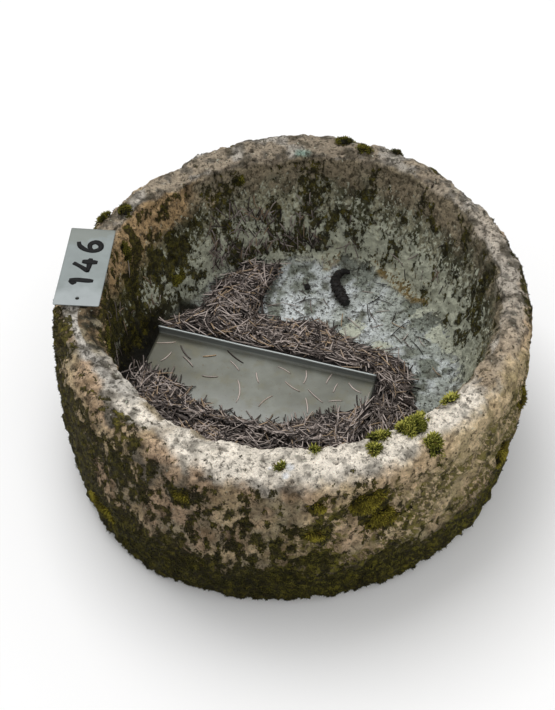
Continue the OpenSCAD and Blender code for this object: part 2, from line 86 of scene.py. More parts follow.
camera_data = bpy.data.cameras.new("camera")
camera_data.sensor_width = SENSOR
camera_data.lens = FOCAL_IN_PIXELS * SENSOR / IMAGE_LONG_SIDE
camera = aimed(camera_data, "camera", (0.0, -1.1809, 1.4779), (-0.0172, -0.0624, 0.1947))
bpy.context.scene.camera = camera
print("camera lens:", round(camera_data.lens, 1), "mm")

# %% Helpers for building nodes


def fill(tree, node, inputs):
    """Fills the inputs of a node with values, or with links where a socket is given."""
    for name, value in inputs.items():
        if isinstance(value, bpy.types.NodeSocket):
            tree.links.new(value, node.inputs[name])
        else:
            node.inputs[name].default_value = value
    return node


def add_node(tree, kind, inputs=None, **settings):
    """Adds a node, sets its properties and fills its inputs."""
    node = tree.nodes.new(kind)
    for name, value in settings.items():
        setattr(node, name, value)
    return fill(tree, node, inputs or {})


def sum_of(tree, operation, first, second=0.0, third=0.0):
    """One step of arithmetic on two or three numbers."""
    return add_node(tree, "ShaderNodeMath", {0: first, 1: second, 2: third},
                    operation=operation).outputs[0]


def finish(tree, shader, colour, roughness, specular=0.5, **more):
    """Sets the main inputs of a Principled BSDF, and more of them by name."""
    fill(tree, shader, {"Base Color": colour, "Roughness": roughness,
                        "Specular IOR Level": specular, **more})


# %% Lamps and ground
bpy.context.scene.view_settings.view_transform = "Standard"
GROUND_HALF, SKY_SHADE, GROUND_SHADE = 6.0, 0.58, 0.3


def area_lamp(name, place, target, width, power):
    """A square soft lamp."""
    lamp = bpy.data.lights.new(name, "AREA")
    lamp.size = width
    lamp.energy = power
    return aimed(lamp, name, place, target)


def seen_white(tree, shade):
    """Strength of a light or a grey: 1 to the camera and to mirror and glass rays, so that
    the background is white, and a shade for the light that falls on the object."""
    path = add_node(tree, "ShaderNodeLightPath").outputs
    seen = path["Is Camera Ray"]
    for extra in ("Is Glossy Ray", "Is Transmission Ray"):
        seen = sum_of(tree, "MAXIMUM", seen, path[extra])
    return add_node(tree, "ShaderNodeMix", {"Factor": seen, "A": shade, "B": 1.0}).outputs["Result"]


area_lamp("lamp_above", (-0.5, 0.7, 2.6), (0, 0, 0.1), 1.6, 38)
area_lamp("lamp_front", (0.9, -2.0, 1.6), (0, 0, 0.1), 1.6, 9)
world = bpy.data.worlds.new("cloudy_sky")
world.use_nodes = True
bpy.context.scene.world = world
tree = world.node_tree
fill(tree, tree.nodes["Background"], {"Color": (1.0, 1.0, 1.0, 1.0),
                                      "Strength": seen_white(tree, SKY_SHADE)})

ground_mesh = bpy.data.meshes.new("ground")
corner_signs = ((-1, -1), (1, -1), (1, 1), (-1, 1))
ground_mesh.from_pydata([(GROUND_HALF * x, GROUND_HALF * y, 0) for x, y in corner_signs], [],
                        [(0, 1, 2, 3)])
ground = bpy.data.objects.new("ground", ground_mesh)
bpy.context.scene.collection.objects.link(ground)
ground_paint = bpy.data.materials.new("ground_paint")
ground_paint.use_nodes = True
tree = ground_paint.node_tree
finish(tree, tree.nodes["Principled BSDF"], seen_white(tree, GROUND_SHADE), 1.0, 0.0)
ground_mesh.materials.append(ground_paint)
print("lamps and ground ready")

# %% [markdown]
# ## The stone: its true form
# A mason hews such a basin from one block, so no outline is a true circle. The block is
# described as the mason would measure it: a radius and a height at each compass angle,
# starting at +X and running anticlockwise. A list gives how far each outline wanders from
# its circle every 30 degrees, and a smooth curve runs through the values. These are the
# CAD model's own numbers, so the stone, moss and needles made here fit it exactly.

# %% Measures of the block
RIM_DIA, FOOT_DIA, HEIGHT, BELLY = 600, 592, 256, 8
SHOULDER_W, SHOULDER_H, FOOT_ROUND, CHISEL, CHIP_DEPTH = 24, 30, 14, 1.6, 8
POINT_DEPTH, GROOVE_DEPTH = 4, 4
MOUTH_DIA, HOLLOW_DIA, FLOOR_T, FLOOR_ROUND, LIP_W, LIP_H = 500, 456, 72, 34, 12, 14
RIM_OUT = [-2, -1, 3, 7, -9, -12, -2, 1, 9, 5, 1, 2]
FOOT_OUT = [-3, -5, -1, -1, -6, -8, -1, 8, 18, 6, 2, 4]
MOUTH_OUT = [10, 14, 14, -4, -8, 0, -14, -6, 2, 0, -1, 5]
HOLLOW_OUT = [6, 4, 10, 0, -14, -20, 0, 8, 4, 0, 0, 4]
RIM_UP = [0, 2, 3, 0, -3, -3, -2, 0, 2, 0, -2, 0]
CHIP_AT, CHIP_SPAN = 129, 5
WORN_W, WORN_H, WORN_AT, WORN_SPAN = 18, 12, 193, 14


def cubic(before, here, after, beyond, f):
    """Smooth curve through four values in a row, between the middle two: a Catmull-Rom
    cubic in the share f of the way."""
    bend = 3 * (here - after) + beyond - before
    hollow = 2 * before - 5 * here + 4 * after - beyond
    return here + f / 2 * (after - before + f * (hollow + f * bend))


def wander(values, angle):
    """Closed smooth curve through evenly spaced values, read at a compass angle."""
    values = np.asarray(values, float)
    count = len(values)
    turn = np.mod(angle, 360.0) / 360.0 * count
    i = np.floor(turn).astype(int)
    picked = [values[(i + step) % count] for step in (-1, 0, 1, 2)]
    return cubic(*picked, turn - i)


def along(points, t):
    """Open smooth curve through a list of points, read from 0 at its start to 1."""
    points = np.asarray(points, float)
    last = len(points) - 1
    t = np.asarray(t, float)
    i = np.minimum(np.floor(t * last).astype(int), last - 1)
    f = t * last - i
    picked = [points[np.clip(i + step, 0, last)] for step in (-1, 0, 1, 2)]
    if points.ndim > 1:
        f = f[..., None]
    return cubic(*picked, f)


def sind(degrees):
    """Sine of an angle in degrees."""
    return np.sin(np.radians(degrees))


def cosd(degrees):
    """Cosine of an angle in degrees."""
    return np.cos(np.radians(degrees))


def at_angle(a, r, z):
    """Point at a compass angle, a distance from the axis and a height."""
    return np.stack(np.broadcast_arrays(r * cosd(a), r * sind(a), z), axis=-1)


def at_height(plan, z):
    """Plan points with a height each."""
    return np.concatenate([plan, np.broadcast_to(z, plan.shape[:-1])[..., None]], axis=-1)


def turned_plan(x, y, turn, middle):
    """Plan points at x and y from a middle, along axes turned anticlockwise."""
    return np.stack([middle[0] + x * cosd(turn) - y * sind(turn),
                     middle[1] + x * sind(turn) + y * cosd(turn)], axis=-1)


def chisel_lumps(a, z):
    """Shallow lumps over the hewn walls: three slanting waves round the block."""
    waves = 0.5 * sind(7 * a + 1.7 * z) + 0.3 * sind(11 * a - 2.6 * z + 70)
    return CHISEL * (waves + 0.2 * sind(3 * a + 4.1 * z + 200))


def dents(a, z):
    """How deep the mason's point bit into the outer wall: two crossing waves."""
    return POINT_DEPTH * (0.5 + 0.25 * sind(24 * a + 3.1 * z) + 0.25 * sind(17 * a - 3.7 * z + 130))


def grooves(a, z):
    """Upright grooves in the wall of the hollow, made in the same way."""
    return GROOVE_DEPTH * (0.5 + 0.3 * sind(22 * a + 0.9 * z) + 0.2 * sind(13 * a - 1.6 * z + 40))


def rim_z(a):
    """Height of the rim: that of the block, plus a wander."""
    return HEIGHT + wander(RIM_UP, a)


def lip_drop(a):
    """Height of the lip, which is higher where it is most worn, at the left."""
    return LIP_H + WORN_H * worn(a)


def worn(a):
    """1 where the lip is most worn, falling off to nothing on either side."""
    return np.exp((cosd(a - WORN_AT) - 1) / (1 - cosd(WORN_SPAN)))


def mouth_r(a):
    """Radius of the mouth of the hollow, with its wander."""
    return MOUTH_DIA / 2 + wander(MOUTH_OUT, a)


def outer_r(a, z):
    """Radius of the outer wall: a straight line from the foot to the rim, plus a belly
    that is fullest halfway up, plus the lumps, less the dents."""
    up = z / rim_z(a)
    low = FOOT_DIA / 2 + wander(FOOT_OUT, a)
    high = RIM_DIA / 2 + wander(RIM_OUT, a)
    dressed = chisel_lumps(a, z) - dents(a, z) * sind(180 * np.minimum(1, z / (rim_z(a) - SHOULDER_H)))
    return low + (high - low) * up + BELLY * sind(180 * up) + dressed


def inner_r(a, z):
    """Radius of the wall of the hollow, which narrows from the mouth to its foot."""
    low = FLOOR_T + FLOOR_ROUND
    up = np.clip((z - low) / (rim_z(a) - lip_drop(a) - low), 0, 1)
    foot = HOLLOW_DIA / 2 + wander(HOLLOW_OUT, a)
    return foot + (mouth_r(a) - foot) * up + (chisel_lumps(a + 40, z) + grooves(a, z)) * sind(180 * up)


def shoulder_r(a):
    """Radius at which the outer wall turns into the shoulder."""
    return outer_r(a, rim_z(a) - SHOULDER_H)


def shoulder_in(a):
    """Width of the shoulder: 0.6 of a narrow wall at most."""
    return np.minimum(SHOULDER_W, (shoulder_r(a) - mouth_r(a)) * 0.6)


def lip_in(a):
    """Width of the lip: a share of a narrow wall, and more where it is most worn."""
    wall = shoulder_r(a) - mouth_r(a)
    sound = np.minimum(LIP_W, wall * 0.28)
    return sound + worn(a) * np.clip(wall - shoulder_in(a) - sound - 4, 0, WORN_W)


def chip(a):
    """Depth of the chip in the rim: a bell curve over the compass angle."""
    return CHIP_DEPTH * np.exp(-((a - CHIP_AT) / CHIP_SPAN) ** 2)


def rim_top(x, y):
    """Height of the rim under a point: flat, with a quarter ellipse towards the outer
    wall and another towards the mouth."""
    a = np.degrees(np.arctan2(y, x))
    r = np.hypot(x, y)
    out = np.clip((r - shoulder_r(a) + shoulder_in(a)) / shoulder_in(a), 0, 1)
    inward = np.clip((mouth_r(a) + lip_in(a) - r) / lip_in(a), 0, 1)
    drop = SHOULDER_H * (1 - np.sqrt(1 - out**2)) + lip_drop(a) * (1 - np.sqrt(1 - inward**2))
    return rim_z(a) - chip(a) - drop


def hollow_top(x, y):
    """Height of the floor of the hollow under a point: flat, then a quarter circle up."""
    a = np.degrees(np.arctan2(y, x))
    edge = inner_r(a, FLOOR_T + FLOOR_ROUND) - FLOOR_ROUND
    out = np.clip((np.hypot(x, y) - edge) / FLOOR_ROUND, 0, 1)
    return FLOOR_T + FLOOR_ROUND * (1 - np.sqrt(1 - out**2))


compass = np.arange(0.0, 360.0, 30.0)
print("wall thickness at the rim:", np.round(shoulder_r(compass) - mouth_r(compass)), "mm")

# %% [markdown]
# ## A random field to weather things with
# Lichen, moss and worn stone never repeat, yet the script has to give the same result on
# each run. So a random number is worked out from the whole-number coordinates of each
# corner of a lattice, and the corners are blended. Meshes and scattered moss read the
# same field, so moss grows where the stone is painted green.

# %% Noise as whole arrays


def lattice_value(ix, iy, iz, seed):
    """A fixed number from 0 to 1 for each lattice corner, by mixing its integers."""
    mixed = (ix * 374761393 + iy * 668265263 + iz * 1440670441 + seed * 974634779)
    mixed &= 0xFFFFFFFF
    mixed = ((mixed ^ (mixed >> 13)) * 1274126177) & 0xFFFFFFFF
    return (mixed ^ (mixed >> 16)) / 0xFFFFFFFF


def noise(points, size, seed):
    """Smooth random field from 0 to 1: lattice values blended by smoothstep weights."""
    place = np.asarray(points, float) / size
    cell = np.floor(place).astype(np.int64)
    f = place - cell
    f = f * f * (3 - 2 * f)
    total = 0.0
    for corner in itertools.product((0, 1), repeat=3):
        weight = np.prod(np.where(np.array(corner) == 1, f, 1 - f), axis=-1)
        ix, iy, iz = np.moveaxis(cell + np.array(corner), -1, 0)
        total = total + weight * lattice_value(ix, iy, iz, seed)
    return total


def layered_noise(points, size, seed, layers=4):
    """Sum of noise at halving sizes and halving strengths, brought back to 0 to 1."""
    points = np.asarray(points, float)
    total = sum(noise(points, size / 2**k, seed + 17 * k) / 2**k for k in range(layers))
    return total / (2 - 2 ** (1 - layers))


def ramp(x, start, end):
    """0 before start, 1 after end, smooth between; start may be the larger one."""
    t = np.clip((x - start) / (end - start), 0, 1)
    return t * t * (3 - 2 * t)


def around(a, middle, half_width):
    """1 at a compass angle, falling smoothly to 0 at half_width degrees on either side."""
    away = np.abs(np.mod(a - middle + 180, 360) - 180)
    return ramp(away, half_width, 0)


def tint(colour, other, share):
    """Colour moved towards another by a share between 0 and 1, point by point."""
    return colour + (other - colour) * np.asarray(share)[..., None]


def paint(red, green, blue):
    """Linear colour from the 0 to 255 values of a paint chart."""
    chart = np.array([red, green, blue]) / 255
    low = chart / 12.92
    high = ((chart + 0.055) / 1.055) ** 2.4
    return np.where(chart <= 0.04045, low, high)


sample = layered_noise(np.random.default_rng(1).uniform(-300, 300, (4000, 3)), 30, 5)
print("noise: mean", sample.mean().round(2), "spread", sample.std().round(2))

# %% [markdown]
# ## The stone: mesh and relief
# The section of the block is read in eight bands, from the rounding at the foot over the
# wall, the rim and the hollow to the middle of its floor. A grid of compass angles and
# stations along the bands gives the whole skin as arrays. It is closed by one point in
# the middle of the floor and one under the foot. Sculpting by hand could rough it up, but
# not the same way on each run. So every point is moved by rule along its normal: up to
# some 3 mm out for lumps, and further in for pits, chisel marks and worn edges. On the
# whole the skin still follows the block's true form.

# %% Bands of the section


def foot_band(a, t):
    """Quarter circle where the outer wall turns under."""
    z = FOOT_ROUND * (1 - cosd(90 * t))
    return outer_r(a, z) - FOOT_ROUND * (1 - sind(90 * t)), z


def wall_band(a, t):
    """Outer wall, straight up from the rounding to the shoulder."""
    z = FOOT_ROUND + (rim_z(a) - SHOULDER_H - FOOT_ROUND) * t
    return outer_r(a, z), z


def shoulder_band(a, t):
    """Quarter ellipse between the outer wall and the rim, less the chip."""
    r = shoulder_r(a) - shoulder_in(a) * (1 - cosd(90 * t))
    return r, rim_z(a) - SHOULDER_H * (1 - sind(90 * t)) - chip(a) * t


def flat_band(a, t):
    """Level top of the rim, from the shoulder in to the lip."""
    start = shoulder_r(a) - shoulder_in(a)
    return start + (mouth_r(a) + lip_in(a) - start) * t, rim_z(a) - chip(a) + 0 * t


def lip_band(a, t):
    """Quarter ellipse between the rim and the mouth."""
    r = mouth_r(a) + lip_in(a) * (1 - sind(90 * t))
    return r, rim_z(a) - lip_drop(a) * (1 - cosd(90 * t)) - chip(a) * (1 - t)


def hollow_band(a, t):
    """Wall of the hollow, straight down from the lip."""
    top = rim_z(a) - lip_drop(a)
    z = top + (FLOOR_T + FLOOR_ROUND - top) * t
    return inner_r(a, z), z


def round_band(a, t):
    """Quarter circle between the wall of the hollow and its floor."""
    z = FLOOR_T + FLOOR_ROUND
    return inner_r(a, z) - FLOOR_ROUND * (1 - cosd(90 * t)), z - FLOOR_ROUND * sind(90 * t)


def floor_band(a, t):
    """Flat floor, from the rounding to the middle."""
    edge = inner_r(a, FLOOR_T + FLOOR_ROUND) - FLOOR_ROUND
    return edge * (1 - t), FLOOR_T + 0 * (a + t)


BANDS = [(foot_band, 5), (wall_band, 50), (shoulder_band, 18), (flat_band, 14),
         (lip_band, 12), (hollow_band, 40), (round_band, 14), (floor_band, 20)]
AROUND = 560
print("stone grid:", AROUND, "by", sum(steps for _, steps in BANDS), "points")

# %% The smooth skin
angles = np.arange(AROUND) * 360.0 / AROUND
parts = []
for number, (band, steps) in enumerate(BANDS):
    shares = np.arange(int(number > 0), steps + (number < 7))[:, None] / steps
    parts.append(np.broadcast_arrays(*band(angles[None, :], shares), number + shares))
radii, heights, stations = (np.concatenate(part) for part in zip(*parts))
compass = np.broadcast_to(angles, radii.shape)
smooth_skin = at_angle(compass, radii, heights)


def facing(middle, half_width):
    """1 where the skin faces a compass angle, falling to 0 on either side."""
    return around(compass, middle, half_width)


def grid_normals(grid):
    """Outward normal at each point of a grid that closes round its second direction:
    the cross product of its two steps."""
    round_step = np.roll(grid, -1, axis=1) - np.roll(grid, 1, axis=1)
    up_step = np.gradient(grid, axis=0)
    normal = np.cross(round_step, up_step)
    return normal / np.maximum(np.linalg.norm(normal, axis=-1, keepdims=True), 1e-9)


skin_normals = grid_normals(smooth_skin)
print("smooth skin:", smooth_skin.shape)

# %% [markdown]
# The relief has a scale for each kind of place. The outer wall was dressed with a point,
# which leaves coarse hollows. The rim is worn and pitted. The wall of the hollow carries
# upright grooves, where water ran down, and the floor is the smoothest. A few holes, the
# crack at the back right and small flakes along both edges are placed one by one.

# %% Relief
CRACK_TURNS = [47.8, 47.0, 46.9, 46.0, 45.6, 46.4, 46.0, 46.6]
CRACK_START, CRACK_LENGTH, CRACK_DEPTH, HOLE_DEPTH = 2.5, 2.9, 3.0, 6.0
HOLES = [(126.0, 242, 4.5), (143.3, 238, 3.6), (115.8, 243, 3.0), (102.4, 267, 3.2),
         (98.5, 278, 3.6), (102.4, 248, 3.0), (15.4, 257, 3.4), (358.0, 262, 5.0),
         (235, 272, 3.2), (253, 268, 2.6), (281, 279, 2.8), (306, 284, 3.0), (22, 268, 2.4),
         (338, 272, 2.6), (208, 266, 3.0), (62, 270, 2.6), (160, 262, 2.4), (75, 262, 2.2)]

zone = stations
outer_share = ramp(zone, 2.6, 1.8)
rim_share = ramp(zone, 1.8, 2.5) * ramp(zone, 5.2, 4.6)
wall_share = ramp(zone, 4.6, 5.1) * ramp(zone, 6.8, 6.0)
floor_share = ramp(zone, 6.2, 6.8)

drawn_down = smooth_skin * np.array([1.0, 1.0, 0.22])
coarse = layered_noise(smooth_skin, 46, 11, 3)
middling = layered_noise(smooth_skin, 17, 23, 3)
fine = layered_noise(smooth_skin, 6.5, 37, 2)
streaks = layered_noise(drawn_down, 13, 41, 3)
pitting = ramp(noise(smooth_skin, 9.0, 53), 0.62, 0.86)
flakes = ramp(noise(smooth_skin, 24, 59), 0.58, 0.74)
edges = np.exp(-((zone - 2.35) / 0.42) ** 2) + np.exp(-((zone - 4.35) / 0.4) ** 2)

depth = outer_share * (1.4 * (1 - coarse) + 3.4 * ramp(middling, 0.6, 0.38)
                       + 3.2 * ramp(fine, 0.7, 0.35) - 0.8)
depth += rim_share * (1.3 * (1 - coarse) + 2.2 * ramp(middling, 0.56, 0.36)
                      + 2.2 * ramp(fine, 0.66, 0.36))
depth += rim_share * 2.2 * pitting
depth += wall_share * (1.0 * (1 - coarse) + 3.0 * ramp(streaks, 0.6, 0.4)
                       + 2.6 * ramp(fine, 0.68, 0.36) - 3.0)
depth += floor_share * (1.1 * (1 - coarse) + 1.0 * ramp(middling, 0.56, 0.42)
                        + 0.9 * ramp(fine, 0.6, 0.4))
depth += edges * (3.4 * flakes + 2.4 * ramp(noise(smooth_skin, 9.5, 67), 0.52, 0.8))
near_tag = facing(173.7, 34) > 0
depth -= 2.6 * outer_share + 2.4 * rim_share * ~near_tag

hole_mask = np.zeros_like(depth)
for hole_at, hole_r, hole_size in HOLES:
    middle = at_angle(hole_at, hole_r, 0.0)[:2]
    away = np.linalg.norm(smooth_skin[..., :2] - middle, axis=-1)
    hole_mask = np.maximum(hole_mask, ramp(away, hole_size * 1.15, hole_size * 0.45) * (zone > 2))
depth += HOLE_DEPTH * hole_mask * (zone < 5.2)

crack_share = np.clip((zone - CRACK_START) / CRACK_LENGTH, 0, 1)
crack_jitter = 1.6 * (noise(smooth_skin, 7, 61) - 0.5)
crack_off = np.mod(compass - along(CRACK_TURNS, crack_share) + crack_jitter + 180, 360) - 180
crack_mm = np.abs(np.radians(crack_off)) * radii
crack_mm += 12 * (ramp(crack_share, 0.04, 0.0) + ramp(crack_share, 0.8, 1.0))
depth += CRACK_DEPTH * ramp(crack_mm, 4.0, 1.0)
print("deepest pit:", depth.max().round(1), "mm")

# %% The worn skin as a mesh


def closed_grid_faces(rows, columns):
    """Quads of a grid that closes round its second direction, as an array of corners."""
    i, j = np.meshgrid(np.arange(rows - 1), np.arange(columns), indexing="ij")
    here, beside = i * columns + j, i * columns + (j + 1) % columns
    return np.stack([here, beside, beside + columns, here + columns], axis=-1).reshape(-1, 4)


def fan_faces(ring, middle, columns, upward):
    """Triangles between one ring of a grid and a single point in its middle."""
    j = np.arange(columns)
    first, second = ring * columns + j, ring * columns + (j + 1) % columns
    sides = (first, second) if upward else (second, first)
    return np.stack([*sides, np.full(columns, middle)], axis=-1)


def as_triangles(quads):
    """Each quad as two triangles."""
    return np.concatenate([quads[:, [0, 1, 2]], quads[:, [0, 2, 3]]])


def capped(grid):
    """Points and triangles of a tube of rings, closed by a point in the middle of each end."""
    rows, columns = grid.shape[:2]
    points = np.concatenate([grid.reshape(-1, 3), grid[[0, -1]].mean(axis=1)])
    return points, np.concatenate([as_triangles(closed_grid_faces(rows, columns)),
                                   fan_faces(0, rows * columns, columns, False),
                                   fan_faces(rows - 1, rows * columns + 1, columns, True)])


def new_mesh(name, points, faces, body):
    """Makes a mesh object from points in millimetres and lists of face arrays, one array
    for each number of corners, and lets it ride on a body."""
    mesh = bpy.data.meshes.new(name)
    points = np.asarray(points, float).reshape(-1, 3) * MM
    sizes = np.concatenate([np.full(len(part), part.shape[1]) for part in faces])
    starts = np.concatenate([[0], np.cumsum(sizes)[:-1]])
    mesh.vertices.add(len(points))
    mesh.vertices.foreach_set("co", points.astype(np.float32).ravel())
    corners = np.concatenate([part.ravel() for part in faces]).astype(np.int32)
    mesh.loops.add(len(corners))
    mesh.loops.foreach_set("vertex_index", corners)
    mesh.polygons.add(len(sizes))
    mesh.polygons.foreach_set("loop_start", starts.astype(np.int32))
    mesh.update(calc_edges=True)
    mesh.validate()
    piece = bpy.data.objects.new(name, mesh)
    bpy.context.scene.collection.objects.link(piece)
    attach(piece, body)
    return piece


def smooth_faces(piece):
    """Shades every face of a mesh as part of one round surface."""
    piece.data.polygons.foreach_set("use_smooth", np.ones(len(piece.data.polygons), bool))


def point_colours(piece, name, values):
    """Stores four numbers at each point of a mesh under a name that a material reads."""
    layer = piece.data.color_attributes.new(name, "FLOAT_COLOR", "POINT")
    layer.data.foreach_set("color", np.asarray(values, np.float32).ravel())


def shade_points(piece, shades):
    """Stores one number at each point of a mesh as its shade."""
    point_colours(piece, "shade", np.repeat(np.asarray(shades)[:, None], 4, axis=1))


BOX_MARGIN, FLOOR_SINK = 0.3, 1.5
box_low, box_high = (np.array(corner) / MM for corner in cad_box)


def within_box(points):
    """Points moved, where need be, to lie just inside the CAD model's own box."""
    return np.clip(points, box_low + BOX_MARGIN, box_high - BOX_MARGIN)


rising = ramp(heights, 0, 9)
worn_skin = within_box(smooth_skin - skin_normals * (depth * np.where(zone < 2, rising, 1))[..., None])
rows = len(worn_skin)
foot_middle, floor_middle = rows * AROUND, rows * AROUND + 1
closing = np.array([[0, 0, 0], [0, 0, FLOOR_T - FLOOR_SINK]])
stone_points = np.concatenate([worn_skin.reshape(-1, 3), closing])
stone = new_mesh("hewn_basin", stone_points,
                 [closed_grid_faces(rows, AROUND),
                  fan_faces(0, foot_middle, AROUND, False),
                  fan_faces(rows - 1, floor_middle, AROUND, True)], "basin")
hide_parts("stone_basin")
smooth_faces(stone)
print("stone:", len(stone.data.vertices), "points,", len(stone.data.polygons), "faces")

# %% [markdown]
# ## The stone: what grows on it and where
# The block is a pale limestone. Cream and grey lichen covers the rim, most of all at the
# front. The outer wall is a pinkish tan where it is bare, and moss covers it in patches
# that close up towards the damp ground and on the left. The hollow is green-grey with
# algae, with pale crusts of lichen, and its floor is a bluish grey. Broad colours are
# painted on the points of the mesh. Fine speckles are left to the material, which reads
# four fields: how thickly moss, crusts and dark specks are sown, and how far the crack is.
#
# Moss grows as thick cushions in some places and as a thin cover in others. Each cushion
# on the rim is listed by compass angle, share of the way from mouth to shoulder, length
# and width as shares of the longest, turn and height. Each on a wall is listed by compass
# angle, share of the block's height, width and height as shares, and thickness.

# %% Places of the moss cushions
MOSS_L, PATCH_W, MOSS_H, MOSS_WALL_H = 46, 60, 17, 12
FRONT_MOSS = [(-57.5, 0.2, 1, 0.7, 35, 1), (-55.8, 0.78, 0.45, 0.5, -40, 0.6),
              (-66.5, 0.12, 0.65, 0.28, 22, 0.6), (-69.5, 0.42, 0.37, 0.37, 0, 0.75),
              (-84, 0.15, 0.28, 0.22, 0, 0.5), (-92, 0.55, 0.26, 0.22, 0, 0.4),
              (-44, 0.1, 0.43, 0.3, 40, 0.55)]
BACK_MOSS = [(76, 0.62, 0.65, 0.33, 0, 0.5), (69.5, 0.4, 0.52, 0.33, -25, 0.45),
             (61, 0.7, 0.43, 0.3, -30, 0.4), (148, 0.3, 0.43, 0.37, 20, 0.6),
             (152.5, 0.8, 0.57, 0.35, 60, 0.45)]
OUTER_MOSS = [(-73, 0.81, 0.83, 0.67, 0.9), (-69.5, 0.65, 0.73, 0.63, 1),
              (-84.5, 0.64, 0.43, 0.4, 0.8), (-84, 0.83, 0.37, 0.3, 0.6),
              (-113, 0.81, 0.5, 0.3, 0.5), (-31, 0.47, 0.5, 0.77, 0.7),
              (-20, 0.66, 0.37, 0.67, 0.6), (-140, 0.23, 1, 0.67, 0.7)]
HOLLOW_MOSS = [(192, 0.81, 0.9, 0.5, 0.42), (156, 0.84, 0.28, 0.77, 0.6),
               (108, 0.88, 0.28, 0.25, 0.7), (139, 0.48, 0.67, 0.33, 0.9)]
print("cushions:", len(FRONT_MOSS) + len(BACK_MOSS) + len(OUTER_MOSS) + len(HOLLOW_MOSS))

# %% Where moss grows on the outer wall


def rank(values):
    """Share of all points that lie below a noise value, from its mean and spread."""
    return 1 / (1 + np.exp(-1.7 * (values - values.mean()) / values.std()))


def moss_cover(a, z):
    """Share of the outer wall that moss covers, by compass angle and height: all of the
    damp foot and of the left flank, half of the front, hardly any of the dry right front,
    and more again at the far right."""
    cover = 0.45 + 0.36 * ramp(z, 135, 70) + 0.5 * ramp(z, 104, 44)
    cover += 1.4 * around(a, 194, 42) * ramp(z, 236, 200)
    cover += 0.2 * around(a, 222, 34) * ramp(z, 150, 100)
    cover -= 0.8 * around(a, 318, 46) * ramp(z, 26, 84)
    cover -= 0.16 * ramp(z, 205, 226) + 0.5 * ramp(z, 234, 250)
    cover += 0.36 * around(a, 216, 44) * ramp(z, 205, 235)
    return cover + 0.5 * around(a, 2, 24) * ramp(z, 110, 190)


def near_cushions(a, z):
    """How near a place is to the cushions on the outer wall, where thin moss grows too."""
    near = np.zeros_like(z)
    for m in OUTER_MOSS:
        sideways = np.radians(np.mod(a - m[0] + 180, 360) - 180) * (RIM_DIA / 2) / m[2]
        away = np.hypot(sideways, (z - m[1] * HEIGHT) / m[3])
        near = near + ramp(away, PATCH_W * 1.1, PATCH_W * 0.4)
    return near


upright = smooth_skin * np.array([1.0, 1.0, 0.5])
patches = (0.22 * layered_noise(upright, 34, 71, 2) + 0.42 * layered_noise(upright, 13, 83, 2)
           + 0.66 * noise(upright, 6, 89))
to_and_fro = layered_noise(smooth_skin, 90, 97, 3) - 0.5
rise_and_fall = layered_noise(smooth_skin, 70, 99, 3) - 0.5
broad_cover = moss_cover(compass + 46 * to_and_fro, heights + 110 * rise_and_fall)
moss_share = (rank(patches) - 1 + broad_cover + 0.6 * near_cushions(compass, heights)) / 0.8 + 0.5
moss_share += 2.2 * facing(318, 60) * (layered_noise(upright, 7, 91, 2) - 0.5)
moss_share -= 3.0 * ramp(zone - 0.7 * facing(216, 46), 2.7, 3.0)
print("mossy share of the outer wall:", (moss_share[zone < 2] > 0.5).mean().round(2))

# %% Broad colours of the stone
TAN, PINK, GREY_TAN = paint(216, 193, 154), paint(200, 172, 142), paint(170, 158, 130)
EARTH, CHAR, SLATE_LICHEN = paint(118, 98, 70), paint(40, 36, 16), paint(96, 92, 84)
CREAM, PALE_GREY, DULL_GREY = paint(250, 240, 224), paint(204, 198, 188), paint(170, 156, 136)
OCHRE, RUSTY_TAN, SHALE = paint(150, 126, 74), paint(206, 172, 126), paint(74, 68, 54)
ALGAE, DEEP_ALGAE, UMBER = paint(150, 147, 124), paint(70, 70, 50), paint(156, 142, 118)
FLOOR_GREY, FLOOR_PALE, FLOOR_GREEN = paint(184, 190, 182), paint(226, 232, 232), paint(122, 128, 112)
VERDIGRIS, DROPPING, OLIVE = paint(140, 166, 152), paint(246, 246, 246), paint(122, 116, 66)
FLOOR_SPOT = paint(196, 200, 186)

STAIN_X, STAIN_Y = 9, 253.5
DROPPINGS = [(270, 281, 5.0), (269, 292, 4.0), (265.5, 284, 2.5)]

p = smooth_skin
broad = layered_noise(p, 70, 101, 3)
medium = layered_noise(p, 26, 103, 3)
small = layered_noise(p, 10, 107, 2)
streak = layered_noise(drawn_down, 10, 109, 2)
waver, jitter = medium - 0.5, small - 0.5


def coat(colour, layers):
    """A coat of paint, tinted with each pair of a colour and a share in turn."""
    for other, share in layers:
        colour = tint(colour, other, share)
    return colour


# Towards the right, from about 70 mm up, the bare stone is less pink, grey and earthy and has fewer
# specks. Its paint is also made brighter there, which is painted light.
bare_and_lit_right = facing(318, 56) * ramp(heights, 70, 130)
film = facing(330, 60) * ramp(streak + 0.5 * waver, 0.42, 0.6)
left_lichen = facing(226, 46) * ramp(heights, 120, 215) * ramp(medium, 0.45, 0.58)
outer_paint = coat(TAN, [(PINK, ramp(broad, 0.4, 0.6) * (1 - 0.7 * bare_and_lit_right)),
                         (GREY_TAN, (0.8 - 0.5 * bare_and_lit_right) * ramp(medium, 0.48, 0.64)),
                         (EARTH, (0.6 - 0.3 * bare_and_lit_right) * ramp(small, 0.5, 0.72))])
# Brighter towards the right: painted light.
painted_light_gain = np.minimum(1 + 0.95 * bare_and_lit_right, 0.8 / outer_paint.max(axis=-1))
# CHAR in this coat darkens the wall towards its foot: partly moss and soil, partly painted shade near
# the ground.
outer_paint = coat(outer_paint * painted_light_gain[..., None],
                   [(EARTH, 0.55 * (1 - 0.5 * bare_and_lit_right) * ramp(streak, 0.52, 0.7)),
                    (OLIVE, 0.42 * film), (SLATE_LICHEN, 0.85 * left_lichen),
                    (CHAR, 0.95 * ramp(heights + 50 * waver, 118, 44))])

